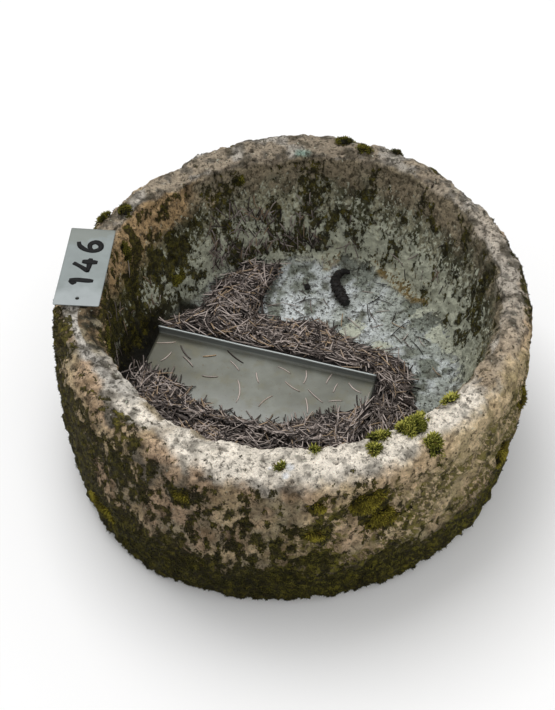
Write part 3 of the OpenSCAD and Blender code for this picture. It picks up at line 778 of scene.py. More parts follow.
front = facing(276, 84)
left = facing(205, 64)
rim_paint = coat(DULL_GREY, [
    (PALE_GREY, ramp(left + 0.9 * waver, 0.15, 0.6)),
    (RUSTY_TAN, 0.4 * facing(350, 70) * ramp(broad, 0.4, 0.6)),
    (PALE_GREY, np.maximum(0.7 * ramp(medium, 0.52, 0.64), 0.7 * facing(8, 46))),
    (CREAM, ramp(front + 0.9 * waver + 0.4 * jitter, 0.22, 0.52)),
    (SLATE_LICHEN, (0.75 - 0.2 * front) * ramp(small + 0.4 * waver, 0.55, 0.68)),
    (SHALE, 0.75 * (1 - 0.75 * front) * ramp(layered_noise(p, 15, 113, 3), 0.54, 0.68)),
    (OCHRE, 0.55 * facing(236, 30) * ramp(zone, 3.8, 4.2) * ramp(medium, 0.45, 0.6))])
rim_paint *= (1 - 0.2 * facing(84, 56))[..., None]
bevel = worn(compass) * ramp(zone + 0.5 * waver, 3.75, 4.1)
bevel_paint = coat(GREY_TAN * 0.9, [(EARTH, ramp(medium, 0.42, 0.56)),
                                    (CHAR, ramp(small + 0.3 * waver, 0.46, 0.58))])
stain_away = np.hypot(p[..., 0] - STAIN_X, (p[..., 1] - STAIN_Y) * 1.4)
rim_paint = coat(rim_paint, [(bevel_paint, 0.95 * np.minimum(1, 1.6 * bevel)),
                             (VERDIGRIS, 0.75 * ramp(stain_away + 20 * waver, 17, 8))])
for dropping_at, dropping_r, dropping_size in DROPPINGS:
    middle = at_angle(dropping_at, dropping_r, 0.0)
    away = np.hypot(p[..., 0] - middle[0], p[..., 1] - middle[1])
    white = ramp(away + 5 * jitter, dropping_size, 0.6 * dropping_size) * (zone > 1.5)
    rim_paint = tint(rim_paint, DROPPING, white)
    outer_paint = tint(outer_paint, DROPPING, white)

upper = ramp(heights + 70 * waver + 30 * jitter, 186, 232)
lit_back = 1 + 0.5 * facing(86, 64) * ramp(heights, 215, 170)
warm = np.maximum(facing(150, 46), facing(196, 30)) * ramp(heights, 140, 235)
mossy_side = facing(160, 62) * ramp(heights, 215, 165)
wall_paint = coat(ALGAE, [(DEEP_ALGAE, ramp(streaks + 0.5 * waver, 0.44, 0.6)),
                          (UMBER, 0.85 * upper)])
wall_paint = coat(wall_paint * lit_back[..., None],
                  [(RUSTY_TAN, 0.85 * ramp(warm + 0.6 * waver, 0.2, 0.6)),
                   (OLIVE * 0.75, 0.6 * mossy_side),
                   (DEEP_ALGAE, 0.8 * facing(12, 26) * ramp(streak, 0.42, 0.58))])

floor_paint = coat(FLOOR_GREY, [(FLOOR_PALE, ramp(broad + 0.5 * waver, 0.38, 0.52)),
                                (FLOOR_GREEN, 0.85 * ramp(medium + 0.4 * jitter, 0.5, 0.62)),
                                (SHALE, 0.5 * ramp(small, 0.6, 0.74))])
print("mean colour of the outer wall:", np.round(outer_paint.mean(axis=(0, 1)), 2))

# %% Details of the hollow, and the mix of all zones
FLOOR_SPOTS = [(181, 123, 13), (200, 85, 12), (82, 92, 15), (226, 61, 9), (120, 60, 10)]
OCHRE_SPOTS = [(56, 222, 11), (64, 219, 8)]
LEDGE = [(61.5, 236, 2), (56.5, 236, 9), (49, 234, 13), (40, 233, 13), (33, 234, 6)]
# Pockets painted dark as shade, each given as x, y and radius.
SHADED_POCKETS = [(-143, 118, 17)]


def spots(places, wobble):
    """1 inside round spots given as x, y and radius, with an edge that noise frays."""
    share = np.zeros(p.shape[:2])
    for spot_x, spot_y, spot_r in places:
        away = np.hypot(p[..., 0] - spot_x, p[..., 1] - spot_y)
        away += wobble * spot_r * (medium + small - 1)
        share = np.maximum(share, ramp(away, spot_r * 1.15, spot_r * 0.7))
    return share


inside = ramp(zone, 4.6, 5.2)
low_inside = inside * ramp(heights, 128, 100)
ledge_a, ledge_r, ledge_w = np.array(LEDGE).T
ledge_off = np.abs(radii - np.interp(compass, ledge_a[::-1], ledge_r[::-1])) - 4 * jitter
ledge_half = np.interp(compass, ledge_a[::-1], ledge_w[::-1], 0, 0)
ledge = ramp(ledge_off, ledge_half, ledge_half - 3) * (ledge_half > 0)
ochre = np.maximum(0.7 * spots(OCHRE_SPOTS, 1.6), ledge) * low_inside
pale_spots = spots(FLOOR_SPOTS, 2.2) * low_inside
mossy_corner = facing(150, 44) * ramp(radii, 150, 178) * ramp(medium + small, 0.8, 1.1)
# Painted shade: a dark pocket on the floor by the left wall of the hollow, and a dark band on the wall
# beside the left end of the sheet, where the hollow lies deep in shadow.
pocket_shade = np.minimum(1, 1.6 * facing(176, 44)) * ramp(radii, 150, 168)
pocket_shade = np.maximum(pocket_shade, spots(SHADED_POCKETS, 0.8)) * low_inside
gap_shade = inside * facing(171, 14) * ramp(heights + 26 * waver + 14 * jitter, 140, 122)
wall_foot_shade = np.maximum(pocket_shade * ramp(heights, 128, 108), np.minimum(1, 2 * gap_shade))
floor_paint = coat(floor_paint, [(OCHRE, 0.9 * ochre), (FLOOR_SPOT, 0.8 * pale_spots),
                                 (DEEP_ALGAE, 0.9 * mossy_corner), (CHAR * 0.3, 0.97 * pocket_shade)])
wall_paint = coat(wall_paint, [(OCHRE, 0.8 * ochre), (CHAR * 0.4, 0.95 * wall_foot_shade)])

frayed = zone + 0.8 * waver + 0.5 * jitter
rim_starts = 2.35 + 0.9 * facing(216, 46) + 0.35 * facing(320, 44)
past_shoulder = frayed - rim_starts
weights = [ramp(past_shoulder, 0.3, -0.3), ramp(past_shoulder, -0.3, 0.3) * ramp(frayed, 4.95, 4.55),
           ramp(frayed, 4.55, 4.95) * ramp(frayed, 6.7, 6.1), ramp(frayed, 6.1, 6.7)]
coats = zip(weights, (outer_paint, rim_paint, wall_paint, floor_paint))
stone_paint = sum(weight[..., None] * paint_coat for weight, paint_coat in coats)
stone_paint /= sum(weights)[..., None]
# Painted shade: the stone is darker in deep pits and holes, and low on the wall of the hollow, just
# above the floor.
recess_shade = 0.6 * ramp(depth - 3 * wall_share, 3.2, 7.5) + 0.75 * hole_mask
recess_shade += 0.25 * low_inside * ramp(heights, 73, 95)
stone_paint = tint(stone_paint, stone_paint * 0.25, np.clip(recess_shade, 0, 0.95))

wall_moss = 0.5 * layered_noise(upright, 26, 127, 2) + 0.5 * layered_noise(upright, 10, 131, 2)
inner_moss = (rank(wall_moss) - 1 + 0.24 + 0.34 * facing(168, 66)) / 0.7 + 0.5
moss_all = np.where(zone < 3.2, moss_share, inner_moss * inside * ramp(heights, 76, 100))
below_wear = worn(compass - 3) * ramp(zone, 4.3, 4.8) * ramp(heights, 176, 200)
moss_all += 0.8 * below_wear * ramp(medium, 0.38, 0.5)
crusts = 0.12 + weights[2] * (0.26 * ramp(heights, 240, 190) + 0.36 * ramp(heights, 180, 120))
# Fewer crusts where that shade is painted.
crusts += 0.1 * weights[3] + 0.5 * pale_spots - 0.5 * gap_shade - 0.6 * pocket_shade
crusts += 0.06 * weights[1] - 0.16 * weights[2] * facing(168, 66)
speck_shares = (0.3 - 0.2 * bare_and_lit_right, 0.34 - 0.12 * front, 0.38, 0.3)
specks = sum(share * weight for share, weight in zip(speck_shares, weights))
fields = np.stack([moss_all, crusts, crack_mm / 12, specks], axis=-1)


def with_closing(values):
    """Adds the values of the two closing points, under the foot and in the floor."""
    values = values.reshape(-1, values.shape[-1])
    return np.concatenate([values, values[:1], values[-1:]])


opaque = np.concatenate([stone_paint, np.ones(stone_paint.shape[:2] + (1,))], axis=-1)
point_colours(stone, "paint", with_closing(opaque))
point_colours(stone, "fields", with_closing(np.clip(fields, 0, 1)))
print("mean colour of the stone:", np.round(stone_paint.mean(axis=(0, 1)), 2))

# %% [markdown]
# ## Node groups shared by the materials
# Three effects return in most of the finishes here, so each is one node group. Speckle
# turns noise into spots that cover a given share of the surface. Mottle makes a colour
# lighter and darker from place to place. Grit works out a bumpy normal from two sizes of
# noise and a height of the material's own. Sizes are in millimetres in all three.

# %% Steps that materials share


def between(tree, value, start, end):
    """0 before start and 1 after end, smooth between, as ramp does for arrays."""
    return add_node(tree, "ShaderNodeMapRange", {"Value": value, "From Min": start, "From Max": end},
                    interpolation_type="SMOOTHSTEP").outputs["Result"]


def mixed(tree, share, first, second, blend_type="MIX"):
    """Colour between two others. The node's inputs 0, 6 and 7 are its factor and colours."""
    return add_node(tree, "ShaderNodeMix", {0: share, 6: first, 7: second},
                    data_type="RGBA", blend_type=blend_type).outputs[2]


def stained(tree, colour, other, mask, strength):
    """Colour moved towards another where a mask is 1, by strength at most."""
    return mixed(tree, sum_of(tree, "MULTIPLY", mask, strength), colour, other)


def rgba(red, green, blue):
    """Paint as a colour for a socket of a shader."""
    return (*paint(red, green, blue), 1.0)


def noise_node(tree, vector, size, detail=3.0, roughness=0.6):
    """Noise whose features are about as wide as size, in millimetres."""
    scale = sum_of(tree, "DIVIDE", 1 / MM, size)
    return add_node(tree, "ShaderNodeTexNoise",
                    {"Vector": vector, "Scale": scale, "Detail": detail,
                     "Roughness": roughness}).outputs["Fac"]


def mapped(tree, vector, turn=(0, 0, 0), scale=(1, 1, 1), kind="POINT"):
    """Coordinates scaled and then turned by degrees about X, Y and Z. With kind TEXTURE
    the pattern is scaled and turned instead, so the coordinates go the other way."""
    return add_node(tree, "ShaderNodeMapping",
                    {"Vector": vector, "Rotation": tuple(np.radians(turn)), "Scale": scale},
                    vector_type=kind).outputs[0]


def parts_of(tree, vector):
    """The X, Y and Z of a vector."""
    return add_node(tree, "ShaderNodeSeparateXYZ", {0: vector}).outputs


def attribute(tree, name):
    """Numbers stored at the points of the mesh."""
    return add_node(tree, "ShaderNodeAttribute", attribute_name=name).outputs


def new_group(name, inputs, outputs):
    """Node group with named sockets. Returns its tree, its inputs and its output node."""
    tree = bpy.data.node_groups.new(name, "ShaderNodeTree")
    for direction, sockets in (("INPUT", inputs), ("OUTPUT", outputs)):
        for socket_name, (kind, value) in sockets.items():
            socket = tree.interface.new_socket(socket_name, in_out=direction, socket_type=kind)
            if value is not None:
                socket.default_value = value
    return tree, tree.nodes.new("NodeGroupInput").outputs, tree.nodes.new("NodeGroupOutput")


def use_group(tree, group, inputs):
    """Places a node group in a material and fills its inputs."""
    return fill(tree, add_node(tree, "ShaderNodeGroup", node_tree=group), inputs).outputs[0]


NUMBER, VECTOR, COLOUR = "NodeSocketFloat", "NodeSocketVector", "NodeSocketColor"
print("node helpers ready")

# %% Speckle, mottle and grit
speckle, given, result = new_group(
    "speckle", {"Vector": (VECTOR, None), "Size": (NUMBER, 4.0), "Cover": (NUMBER, 0.3),
                "Softness": (NUMBER, 0.03)}, {"Mask": (NUMBER, None)})
spot_noise = noise_node(speckle, given["Vector"], given["Size"])
spread = sum_of(speckle, "MULTIPLY_ADD", given["Cover"], -0.56, 0.78)
edge_start = sum_of(speckle, "SUBTRACT", spread, given["Softness"])
edge_end = sum_of(speckle, "ADD", spread, given["Softness"])
fill(speckle, result, {"Mask": between(speckle, spot_noise, edge_start, edge_end)})

mottle, given, result = new_group(
    "mottle", {"Vector": (VECTOR, None), "Color": (COLOUR, (0.5, 0.5, 0.5, 1)),
               "Size": (NUMBER, 8.0), "Amount": (NUMBER, 0.3)}, {"Color": (COLOUR, None)})
shade_noise = noise_node(mottle, given["Vector"], given["Size"], 4.0, 0.65)
swing = sum_of(mottle, "MULTIPLY", sum_of(mottle, "SUBTRACT", shade_noise, 0.5), 4.0)
strength = sum_of(mottle, "MULTIPLY_ADD", swing, given["Amount"], 1.0)
fill(mottle, result, {"Color": mixed(mottle, 1.0, given["Color"], strength, "MULTIPLY")})

grit, given, result = new_group(
    "grit", {"Vector": (VECTOR, None), "Size": (NUMBER, 4.0), "Height": (NUMBER, 0.5),
             "Extra": (NUMBER, 0.0)}, {"Normal": (VECTOR, None)})
grain_a = noise_node(grit, given["Vector"], given["Size"])
grain_b = noise_node(grit, given["Vector"], sum_of(grit, "MULTIPLY", given["Size"], 0.3), 2.0)
grains = sum_of(grit, "MULTIPLY_ADD", grain_b, 0.35, grain_a)
relief_mm = sum_of(grit, "MULTIPLY_ADD", grains, given["Height"], given["Extra"])
bumps = add_node(grit, "ShaderNodeBump", {"Height": relief_mm, "Distance": MM, "Strength": 1.0})
fill(grit, result, {"Normal": bumps.outputs["Normal"]})


def speckled(tree, vector, size, cover, softness=0.03):
    """Mask of spots of a size that cover a share of the surface."""
    return use_group(tree, speckle, {"Vector": vector, "Size": size, "Cover": cover,
                                     "Softness": softness})


def mottled(tree, vector, colour, size, amount):
    """Colour made lighter and darker in patches of a size."""
    return use_group(tree, mottle, {"Vector": vector, "Color": colour, "Size": size, "Amount": amount})


def gritty(tree, vector, size, height, extra=0.0):
    """Normal of a surface with grains of a size and a height, over another height."""
    return use_group(tree, grit, {"Vector": vector, "Size": size, "Height": height, "Extra": extra})


def new_material(name):
    """Material with its tree, its Principled BSDF and Object coordinates."""
    material = bpy.data.materials.new(name)
    material.use_nodes = True
    tree = material.node_tree
    place = tree.nodes.new("ShaderNodeTexCoord").outputs["Object"]
    return material, tree, tree.nodes["Principled BSDF"], place


def dress(material, *pieces):
    """Gives pieces a material."""
    for piece in pieces:
        piece.data.materials.append(material)


print("groups:", speckle.name, mottle.name, grit.name)

# %% [markdown]
# The stone's material starts from the painted colours. It adds grain, painted shade in the
# low spots of the grain, dark specks, pale crusts of lichen, a green film where the moss
# field says so, and the crack. The crusts on the walls are drawn upright, because water
# runs down there. On the dry right front the moss has shrunk to small flecks, drawn out
# along a slant.

# %% Stone material
stone_finish, tree, shader, place = new_material("lichened_limestone")
fields_read = attribute(tree, "fields")
field = add_node(tree, "ShaderNodeSeparateColor", {0: fields_read["Color"]}).outputs
drawn_out = mapped(tree, place, scale=(1.0, 1.0, 0.55))

rough = noise_node(tree, place, 7.0, 5.0, 0.68)
colour = mottled(tree, place, attribute(tree, "paint")["Color"], 9.0, 0.34)
colour = mottled(tree, place, colour, 2.2, 0.34)
# Darker where the 7 mm relief noise is low: painted shade in the low spots.
colour = stained(tree, colour, rgba(46, 38, 26), between(tree, rough, 0.5, 0.36), 0.62)
dark_specks = speckled(tree, drawn_out, 5.0, fields_read["Alpha"])
colour = stained(tree, colour, rgba(50, 46, 32), dark_specks, 0.66)
crust_mask = speckled(tree, drawn_out, 4.4, field["Green"], 0.05)
crust_colour = mottled(tree, place, rgba(214, 217, 196), 12.0, 0.3)
colour = stained(tree, colour, crust_colour, crust_mask, 0.76)

edge_noise = noise_node(tree, drawn_out, 6.0, 4.0, 0.7)
frayed_moss = sum_of(tree, "MULTIPLY_ADD", sum_of(tree, "SUBTRACT", edge_noise, 0.5), 3.4, field["Red"])
moss_mask = between(tree, frayed_moss, 0.36, 0.64)
moss_tone = noise_node(tree, place, 9.0, 5.0, 0.75)
moss_colour = mixed(tree, between(tree, moss_tone, 0.42, 0.72), rgba(34, 31, 11), rgba(112, 104, 34))
moss_colour = mottled(tree, place, moss_colour, 2.0, 0.6)
colour = stained(tree, colour, moss_colour, moss_mask, 0.95)

# %% Flecks, crack and bumps of the stone
FLECK_SIDE, FLECK_SLANT, FLECK_STRETCH = 318, 35, 2.4
FLECKS_START, FLECKS_FULL, FLECKS_END, FLECKS_BELOW = 160, 236, 232, 205

facing_out = mapped(tree, place, (0, 0, 360 - FLECK_SIDE))
slanted = mapped(tree, facing_out, (FLECK_SLANT, 0, 0), (1.0, 1.0, FLECK_STRETCH), "TEXTURE")
flecks = speckled(tree, slanted, 5.0, 0.56, 0.025)
sparse = between(tree, noise_node(tree, place, 40.0), 0.34, 0.54)
outward, _, height = parts_of(tree, facing_out)
on_that_side = between(tree, outward, FLECKS_START * MM, FLECKS_FULL * MM)
below_rim = between(tree, height, FLECKS_END * MM, FLECKS_BELOW * MM)
fleck_share = sum_of(tree, "MULTIPLY", sum_of(tree, "MULTIPLY", on_that_side, sparse), below_rim)
fleck_mask = sum_of(tree, "MULTIPLY", flecks, fleck_share)
fleck_colour = mixed(tree, between(tree, moss_tone, 0.4, 0.6), rgba(50, 46, 16), rgba(122, 116, 42))
colour = stained(tree, colour, fleck_colour, fleck_mask, 0.85)
crack_mask = between(tree, sum_of(tree, "MULTIPLY_ADD", edge_noise, -0.1, field["Blue"]), 0.12, 0.03)
colour = mixed(tree, crack_mask, colour, rgba(34, 28, 20))

raised = sum_of(tree, "MULTIPLY", crust_mask, 0.4)
any_moss = sum_of(tree, "MAXIMUM", moss_mask, fleck_mask)
for mask, height in ((any_moss, 1.6), (dark_specks, -0.7), (rough, 6.0)):
    raised = sum_of(tree, "MULTIPLY_ADD", mask, height, raised)
finish(tree, shader, colour, 0.93, 0.25, Normal=gritty(tree, place, 4.0, 1.6, raised))
dress(stone_finish, stone)
print("stone material:", len(tree.nodes), "nodes")

# %% [markdown]
# ## Moss cushions
# A moss cushion is a dome of thousands of leafy shoots, packed so tightly that only their
# tips show. So each cushion is made in two steps: a dark dome that stands for its heart,
# and hundreds of small shoots on it. A shoot is five pointed leaves that spread from one
# foot. It is made once, as a few dozen faces, and arrays of turned and scaled copies are
# joined into one mesh. Each point carries a shade, dark at the foot and light at the tip.
# The dark of the heart and the feet is partly the moss's own and partly painted shade
# between the shoots.

# %% Shoots as turned copies


def leafy_shoot(leaves, spread, width):
    """One shoot of pointed leaves round a foot, one unit tall. Each leaf is a slim closed
    body of five points: its foot, two sides, a back and its tip."""
    points, faces, shades = [], [], []
    for leaf in range(leaves):
        turn = 360 * leaf / leaves + 12 * np.sin(5.0 * leaf)
        lean = spread * (0.75 + 0.25 * np.cos(3.0 * leaf))
        way = np.array([sind(lean) * cosd(turn), sind(lean) * sind(turn), cosd(lean)])
        side = np.array([-sind(turn), cosd(turn), 0.0])
        back = np.cross(side, way)
        half = 0.45 * way
        start = len(points)
        points += [0 * way, half + width * side, half - width * side, half + 0.7 * width * back, way]
        shades += [0.0, 0.5, 0.5, 0.45, 1.0]
        corners = [(0, 2, 1), (0, 1, 3), (0, 3, 2), (4, 1, 2), (4, 3, 1), (4, 2, 3)]
        faces += [[start + corner for corner in face] for face in corners]
    return np.array(points), np.array(faces), np.array(shades)


def unit(vectors):
    """Vectors divided by their own lengths."""
    return vectors / np.maximum(np.linalg.norm(vectors, axis=-1, keepdims=True), 1e-9)


def planted(template, places, ways, sizes, spins):
    """Copies of a template standing at places with their axis along ways. Returns points
    and faces of them all."""
    points, faces = template[:2]
    ways = unit(ways)
    helper = np.where(np.abs(ways[:, 2:3]) > 0.9, [[1.0, 0, 0]], [[0, 0, 1.0]])
    first = unit(np.cross(helper, ways))
    second = np.cross(ways, first)
    across = first * cosd(spins)[:, None] + second * sind(spins)[:, None]
    beside = np.cross(ways, across)
    frames = np.stack([across, beside, ways], axis=1)
    moved = np.einsum("pk,nkd->npd", points, frames) * sizes[:, None, None] + places[:, None, :]
    offsets = np.arange(len(places))[:, None, None] * len(points)
    return moved.reshape(-1, 3), (faces[None] + offsets).reshape(-1, faces.shape[1])


def joined(parts):
    """Joins lists of (points, faces of three corners, shades) into one of each."""
    starts = np.cumsum([0] + [len(part[0]) for part in parts[:-1]])
    points = np.concatenate([part[0] for part in parts])
    faces = np.concatenate([part[1] + start for part, start in zip(parts, starts)])
    return points, faces, np.concatenate([part[2] for part in parts])


SHOOT = leafy_shoot(5, 42, 0.17)
TUFT = leafy_shoot(3, 55, 0.24)
print("one shoot has", len(SHOOT[1]), "faces")

# %% Places of the cushions


def outline(phi, mark):
    """Ragged outline of a cushion, as a share of its ellipse."""
    waves = 0.09 * sind(2 * phi + 70 * mark) + 0.08 * sind(3 * phi + 131 * mark)
    return 0.86 + waves + 0.05 * sind(7 * phi + 37 * mark)


def rim_spot(m, mark, rho, phi, lift):
    """Point of a cushion on the rim, above a disc of radius rho and angle phi."""
    along_x = MOSS_L * m[2] / 2 * rho * outline(phi, mark) * cosd(phi)
    along_y = MOSS_L * m[3] / 2 * rho * outline(phi, mark) * sind(phi)
    reach = mouth_r(m[0]) + m[1] * (shoulder_r(m[0]) - mouth_r(m[0]))
    plan = turned_plan(along_x, along_y, m[4], (reach * cosd(m[0]), reach * sind(m[0])))
    return at_height(plan, rim_top(plan[..., 0], plan[..., 1]) - 2.5 + lift * (3 + MOSS_H * m[5]))


def wall_spot(m, mark, rho, phi, lift, side):
    """Point of a cushion on a wall: side 1 outside, -1 in the hollow."""
    z = m[1] * HEIGHT + PATCH_W * m[3] / 2 * rho * outline(phi, mark) * sind(phi)
    wall = outer_r if side > 0 else inner_r
    sideways = PATCH_W * m[2] / 2 * rho * outline(phi, mark) * cosd(phi)
    a = m[0] + side * np.degrees(sideways / wall(m[0], z))
    r = wall(a, z) + side * (lift * (3 + MOSS_WALL_H * m[4]) - 3)
    return at_angle(a, r, z)


def dome(rho, phi, mark):
    """Height share of a cushion: round in the middle, lumpy, and 0 at its edge."""
    lumps = 1 + rho * (0.16 * sind(3 * phi + 57 * mark) + 0.1 * sind(5 * phi + 31 * mark))
    return np.sqrt(np.clip(1 - rho**2, 0, 1)) * lumps


print("dome in the middle of its disc:", dome(0.0, 0.0, 0))

# %% Cushions grown from their domes
HEART, HEART_REACH = 0.5, 0.86


def heart_of(spot, mark):
    """Closed dark dome in the middle of a cushion, its dark partly painted shade, as points, triangles
    and shades.
    """
    sides, rings = 36, 9
    phi = np.arange(sides) * 360.0 / sides
    up = np.linspace(HEART_REACH, 0.06, rings)[:, None]
    down = np.array([0.35, HEART_REACH])[:, None]
    lower = spot(down, phi[None, :], 0.0 * down)
    upper = spot(up, phi[None, :], HEART * dome(up, phi[None, :], mark))
    points, faces = capped(np.concatenate([lower, upper]))
    return points, faces, np.full(len(points), 0.04)


def shoots_of(spot, mark, area, spacing, size, rng):
    """Shoots over a dome and a little way beyond its edge, where they grow fewer. They
    lean outwards and up."""
    count = int(1.7 * area / spacing**2)
    rho, phi = 1.3 * np.sqrt(rng.random(count)), 360 * rng.random(count)
    ragged = 0.5 * np.sin(rho * 9 + np.radians(4 * phi)) * rho
    wanted = rng.random(count) < ramp(rho + ragged, 1.5, 0.5)
    rho, phi = rho[wanted], phi[wanted]
    count = len(rho)

    def surface(r, f):
        return spot(r, f, HEART * dome(r, f, mark))

    here = surface(rho, phi)
    outward = surface(rho + 0.02, phi) - surface(np.maximum(rho - 0.02, 0), phi)
    sideways = surface(rho, phi + 3) - surface(rho, phi - 3)
    normal = unit(np.cross(outward, sideways))
    way = normal + 0.35 * rng.normal(size=(count, 3)) * np.array([1, 1, 0.6])
    sizes = size * rng.uniform(0.6, 1.3, count) * (1 - 0.4 * ramp(rho, 0.8, 1.3))
    points, faces = planted(SHOOT, here - 0.25 * size * normal, way, sizes, 360 * rng.random(count))
    tone = np.clip(1.1 * (noise(here, 6, 133) - 0.5) + rng.uniform(0.5, 1.1, count), 0.2, 1.2)
    shades = (SHOOT[2][None] * tone[:, None] + 0.05).ravel()
    return points, faces, shades


def surface_of(m, mark, side):
    """The surface of one cushion as a function, on the rim where side is 0."""
    if side == 0:
        return lambda rho, phi, lift: rim_spot(m, mark, rho, phi, lift)
    return lambda rho, phi, lift: wall_spot(m, mark, rho, phi, lift, side)


def moss_piece(name, table, side, longest, spacing, size, seed):
    """One mesh for a group of cushions, in the place of the CAD node of that name."""
    rng = np.random.default_rng(seed)
    parts = []
    for mark, m in enumerate(table):
        spot = surface_of(m, mark, side)
        parts.append(heart_of(spot, mark))
        parts.append(shoots_of(spot, mark, longest**2 * m[2] * m[3], spacing, size, rng))
    points, faces, shades = joined(parts)
    piece = new_mesh(name + "_shoots", points, [faces], "basin")
    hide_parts(name)
    shade_points(piece, shades)
    print(name, len(faces), "faces")
    return piece


front_moss = moss_piece("moss_front_rim", FRONT_MOSS, 0, MOSS_L, 2.3, 7.5, 3)
back_moss = moss_piece("moss_back_rim", BACK_MOSS, 0, MOSS_L, 2.1, 5.0, 5)
outer_moss = moss_piece("moss_outer_wall", OUTER_MOSS, 1, PATCH_W, 2.7, 6.4, 7)
hollow_moss = moss_piece("moss_hollow", HOLLOW_MOSS, -1, PATCH_W, 2.3, 5.4, 9)

# %% [markdown]
# ## Thin moss on the outer wall
# Most of the moss is too thin for cushions. Hair could draw it, but a mesh looks the same
# in any program. So it stands in small tufts where the stone's moss field says so, and
# gives the wall a shaggy skin that is seen along its outline too.
# Points of the stone's own mesh are drawn by lot, each with a chance equal to the area
# that it stands for, and a small tuft is planted on each.

# %% Tufts
TUFT_LEAN = 0.4
rng = np.random.default_rng(21)
worn_normals = grid_normals(worn_skin)
around_step = np.linalg.norm(np.roll(worn_skin, -1, axis=1) - worn_skin, axis=-1)
up_step = np.linalg.norm(np.gradient(worn_skin, axis=0), axis=-1)
patch_area = around_step * up_step


def planted_tufts(name, wish, count, low_size, high_size):
    """Tufts at grid points of the stone drawn with a chance that follows wish."""
    chance = (np.clip(wish, 0, None) * patch_area).ravel()
    chosen = rng.choice(len(chance), count, p=chance / chance.sum())
    slide = rng.uniform(-1.8, 1.8, (count, 3))
    spot, normal = worn_skin.reshape(-1, 3)[chosen], worn_normals.reshape(-1, 3)[chosen]
    slide -= normal * np.sum(slide * normal, axis=1, keepdims=True)
    sizes = rng.uniform(low_size, high_size, count) * (0.7 + 0.6 * noise(spot, 14, 149))
    foot = spot + slide - 0.3 * sizes[:, None] * normal
    way = normal + TUFT_LEAN * rng.normal(size=(count, 3)) + np.array([0, 0, 0.25])
    points, faces = planted(TUFT, foot, way, sizes, 360 * rng.random(count))
    tone = np.clip(rng.uniform(0.35, 0.95, count) + 0.5 * (noise(foot, 18, 151) - 0.5), 0.1, 1.2)
    piece = new_mesh(name, within_box(points), [faces], "basin")
    shade_points(piece, (TUFT[2][None] * tone[:, None]).ravel())
    print(name, len(faces), "faces")
    return piece


tuft_wish = ramp(moss_all, 0.5, 0.75) * (zone < 3) * (heights > 5)
tufts = [planted_tufts(f"moss_wall_tufts_{part + 1}", tuft_wish * facing(middle, 68),
                       10500, 1.6, 3.6)
         for part, middle in enumerate((30, 150, 270))]
stray_wish = ramp(moss_all, 0.5, 0.8) * (zone > 4.6) * (heights > 90)
tufts.append(planted_tufts("moss_hollow_tufts", stray_wish, 6000, 1.4, 3.0))

# %% [markdown]
# The shade of each leaf picks its colour: nearly black in the heart of a cushion, olive
# on its sides and a fresh yellow green at the tips. That near black is partly the moss's
# own dark lower parts and partly painted shade. The front rim gets the most light, so its
# moss is the freshest. Some tips have dried to brown. Each row below names a moss and
# gives those four colours, and the pieces that it covers.

# %% Moss materials


def moss_material(name, deep, middle, tip, dry):
    """Moss coloured by the shade of its points, with dried spots."""
    material, tree, shader, place = new_material(name)
    shade = attribute(tree, "shade")["Fac"]
    # The deep colour at the feet and in the heart is partly the moss's own dark lower parts and partly
    # painted shade between the shoots.
    colour = mixed(tree, between(tree, shade, 0.08, 0.55), deep, middle)
    colour = mixed(tree, between(tree, shade, 0.55, 1.0), colour, tip)
    colour = stained(tree, colour, dry, speckled(tree, place, 7.0, 0.26, 0.05), 0.7)
    finish(tree, shader, mottled(tree, place, colour, 3.0, 0.3), 0.85, 0.2)
    return material


MOSSES = [
    ("fresh_moss", [(18, 20, 6), (92, 96, 32), (186, 182, 88), (112, 84, 42)], [front_moss]),
    ("old_moss", [(18, 18, 6), (58, 56, 18), (136, 130, 48), (72, 54, 28)],
     [back_moss, hollow_moss, *tufts]),
    ("sunlit_wall_moss", [(28, 25, 8), (96, 88, 28), (172, 160, 60), (92, 64, 30)], [outer_moss])]
for name, chart, pieces in MOSSES:
    dress(moss_material(name, *(rgba(*colour) for colour in chart)), *pieces)
print("moss finished")

# %% [markdown]
# ## Dry needles
# The litter is thousands of dry conifer needles, each a little bent. A picture of litter
# would look flat from the side, and a heap made of needles alone would need far too many.
# So a drift is a dark brown heap, which stands for the buried needles and partly for the
# shade between them, under a thatch of real ones. A needle is a three-sided bar along an
# arc, and lies along the slope of its heap. All needles of a drift are computed at once.

# %% Needles as arrays
NEEDLE_L, NEEDLE_W, NEEDLE_THICK, NEEDLE_STEPS = 26.0, 1.9, 1.2, 5
NEEDLE_POINTS = 3 * (NEEDLE_STEPS + 1)


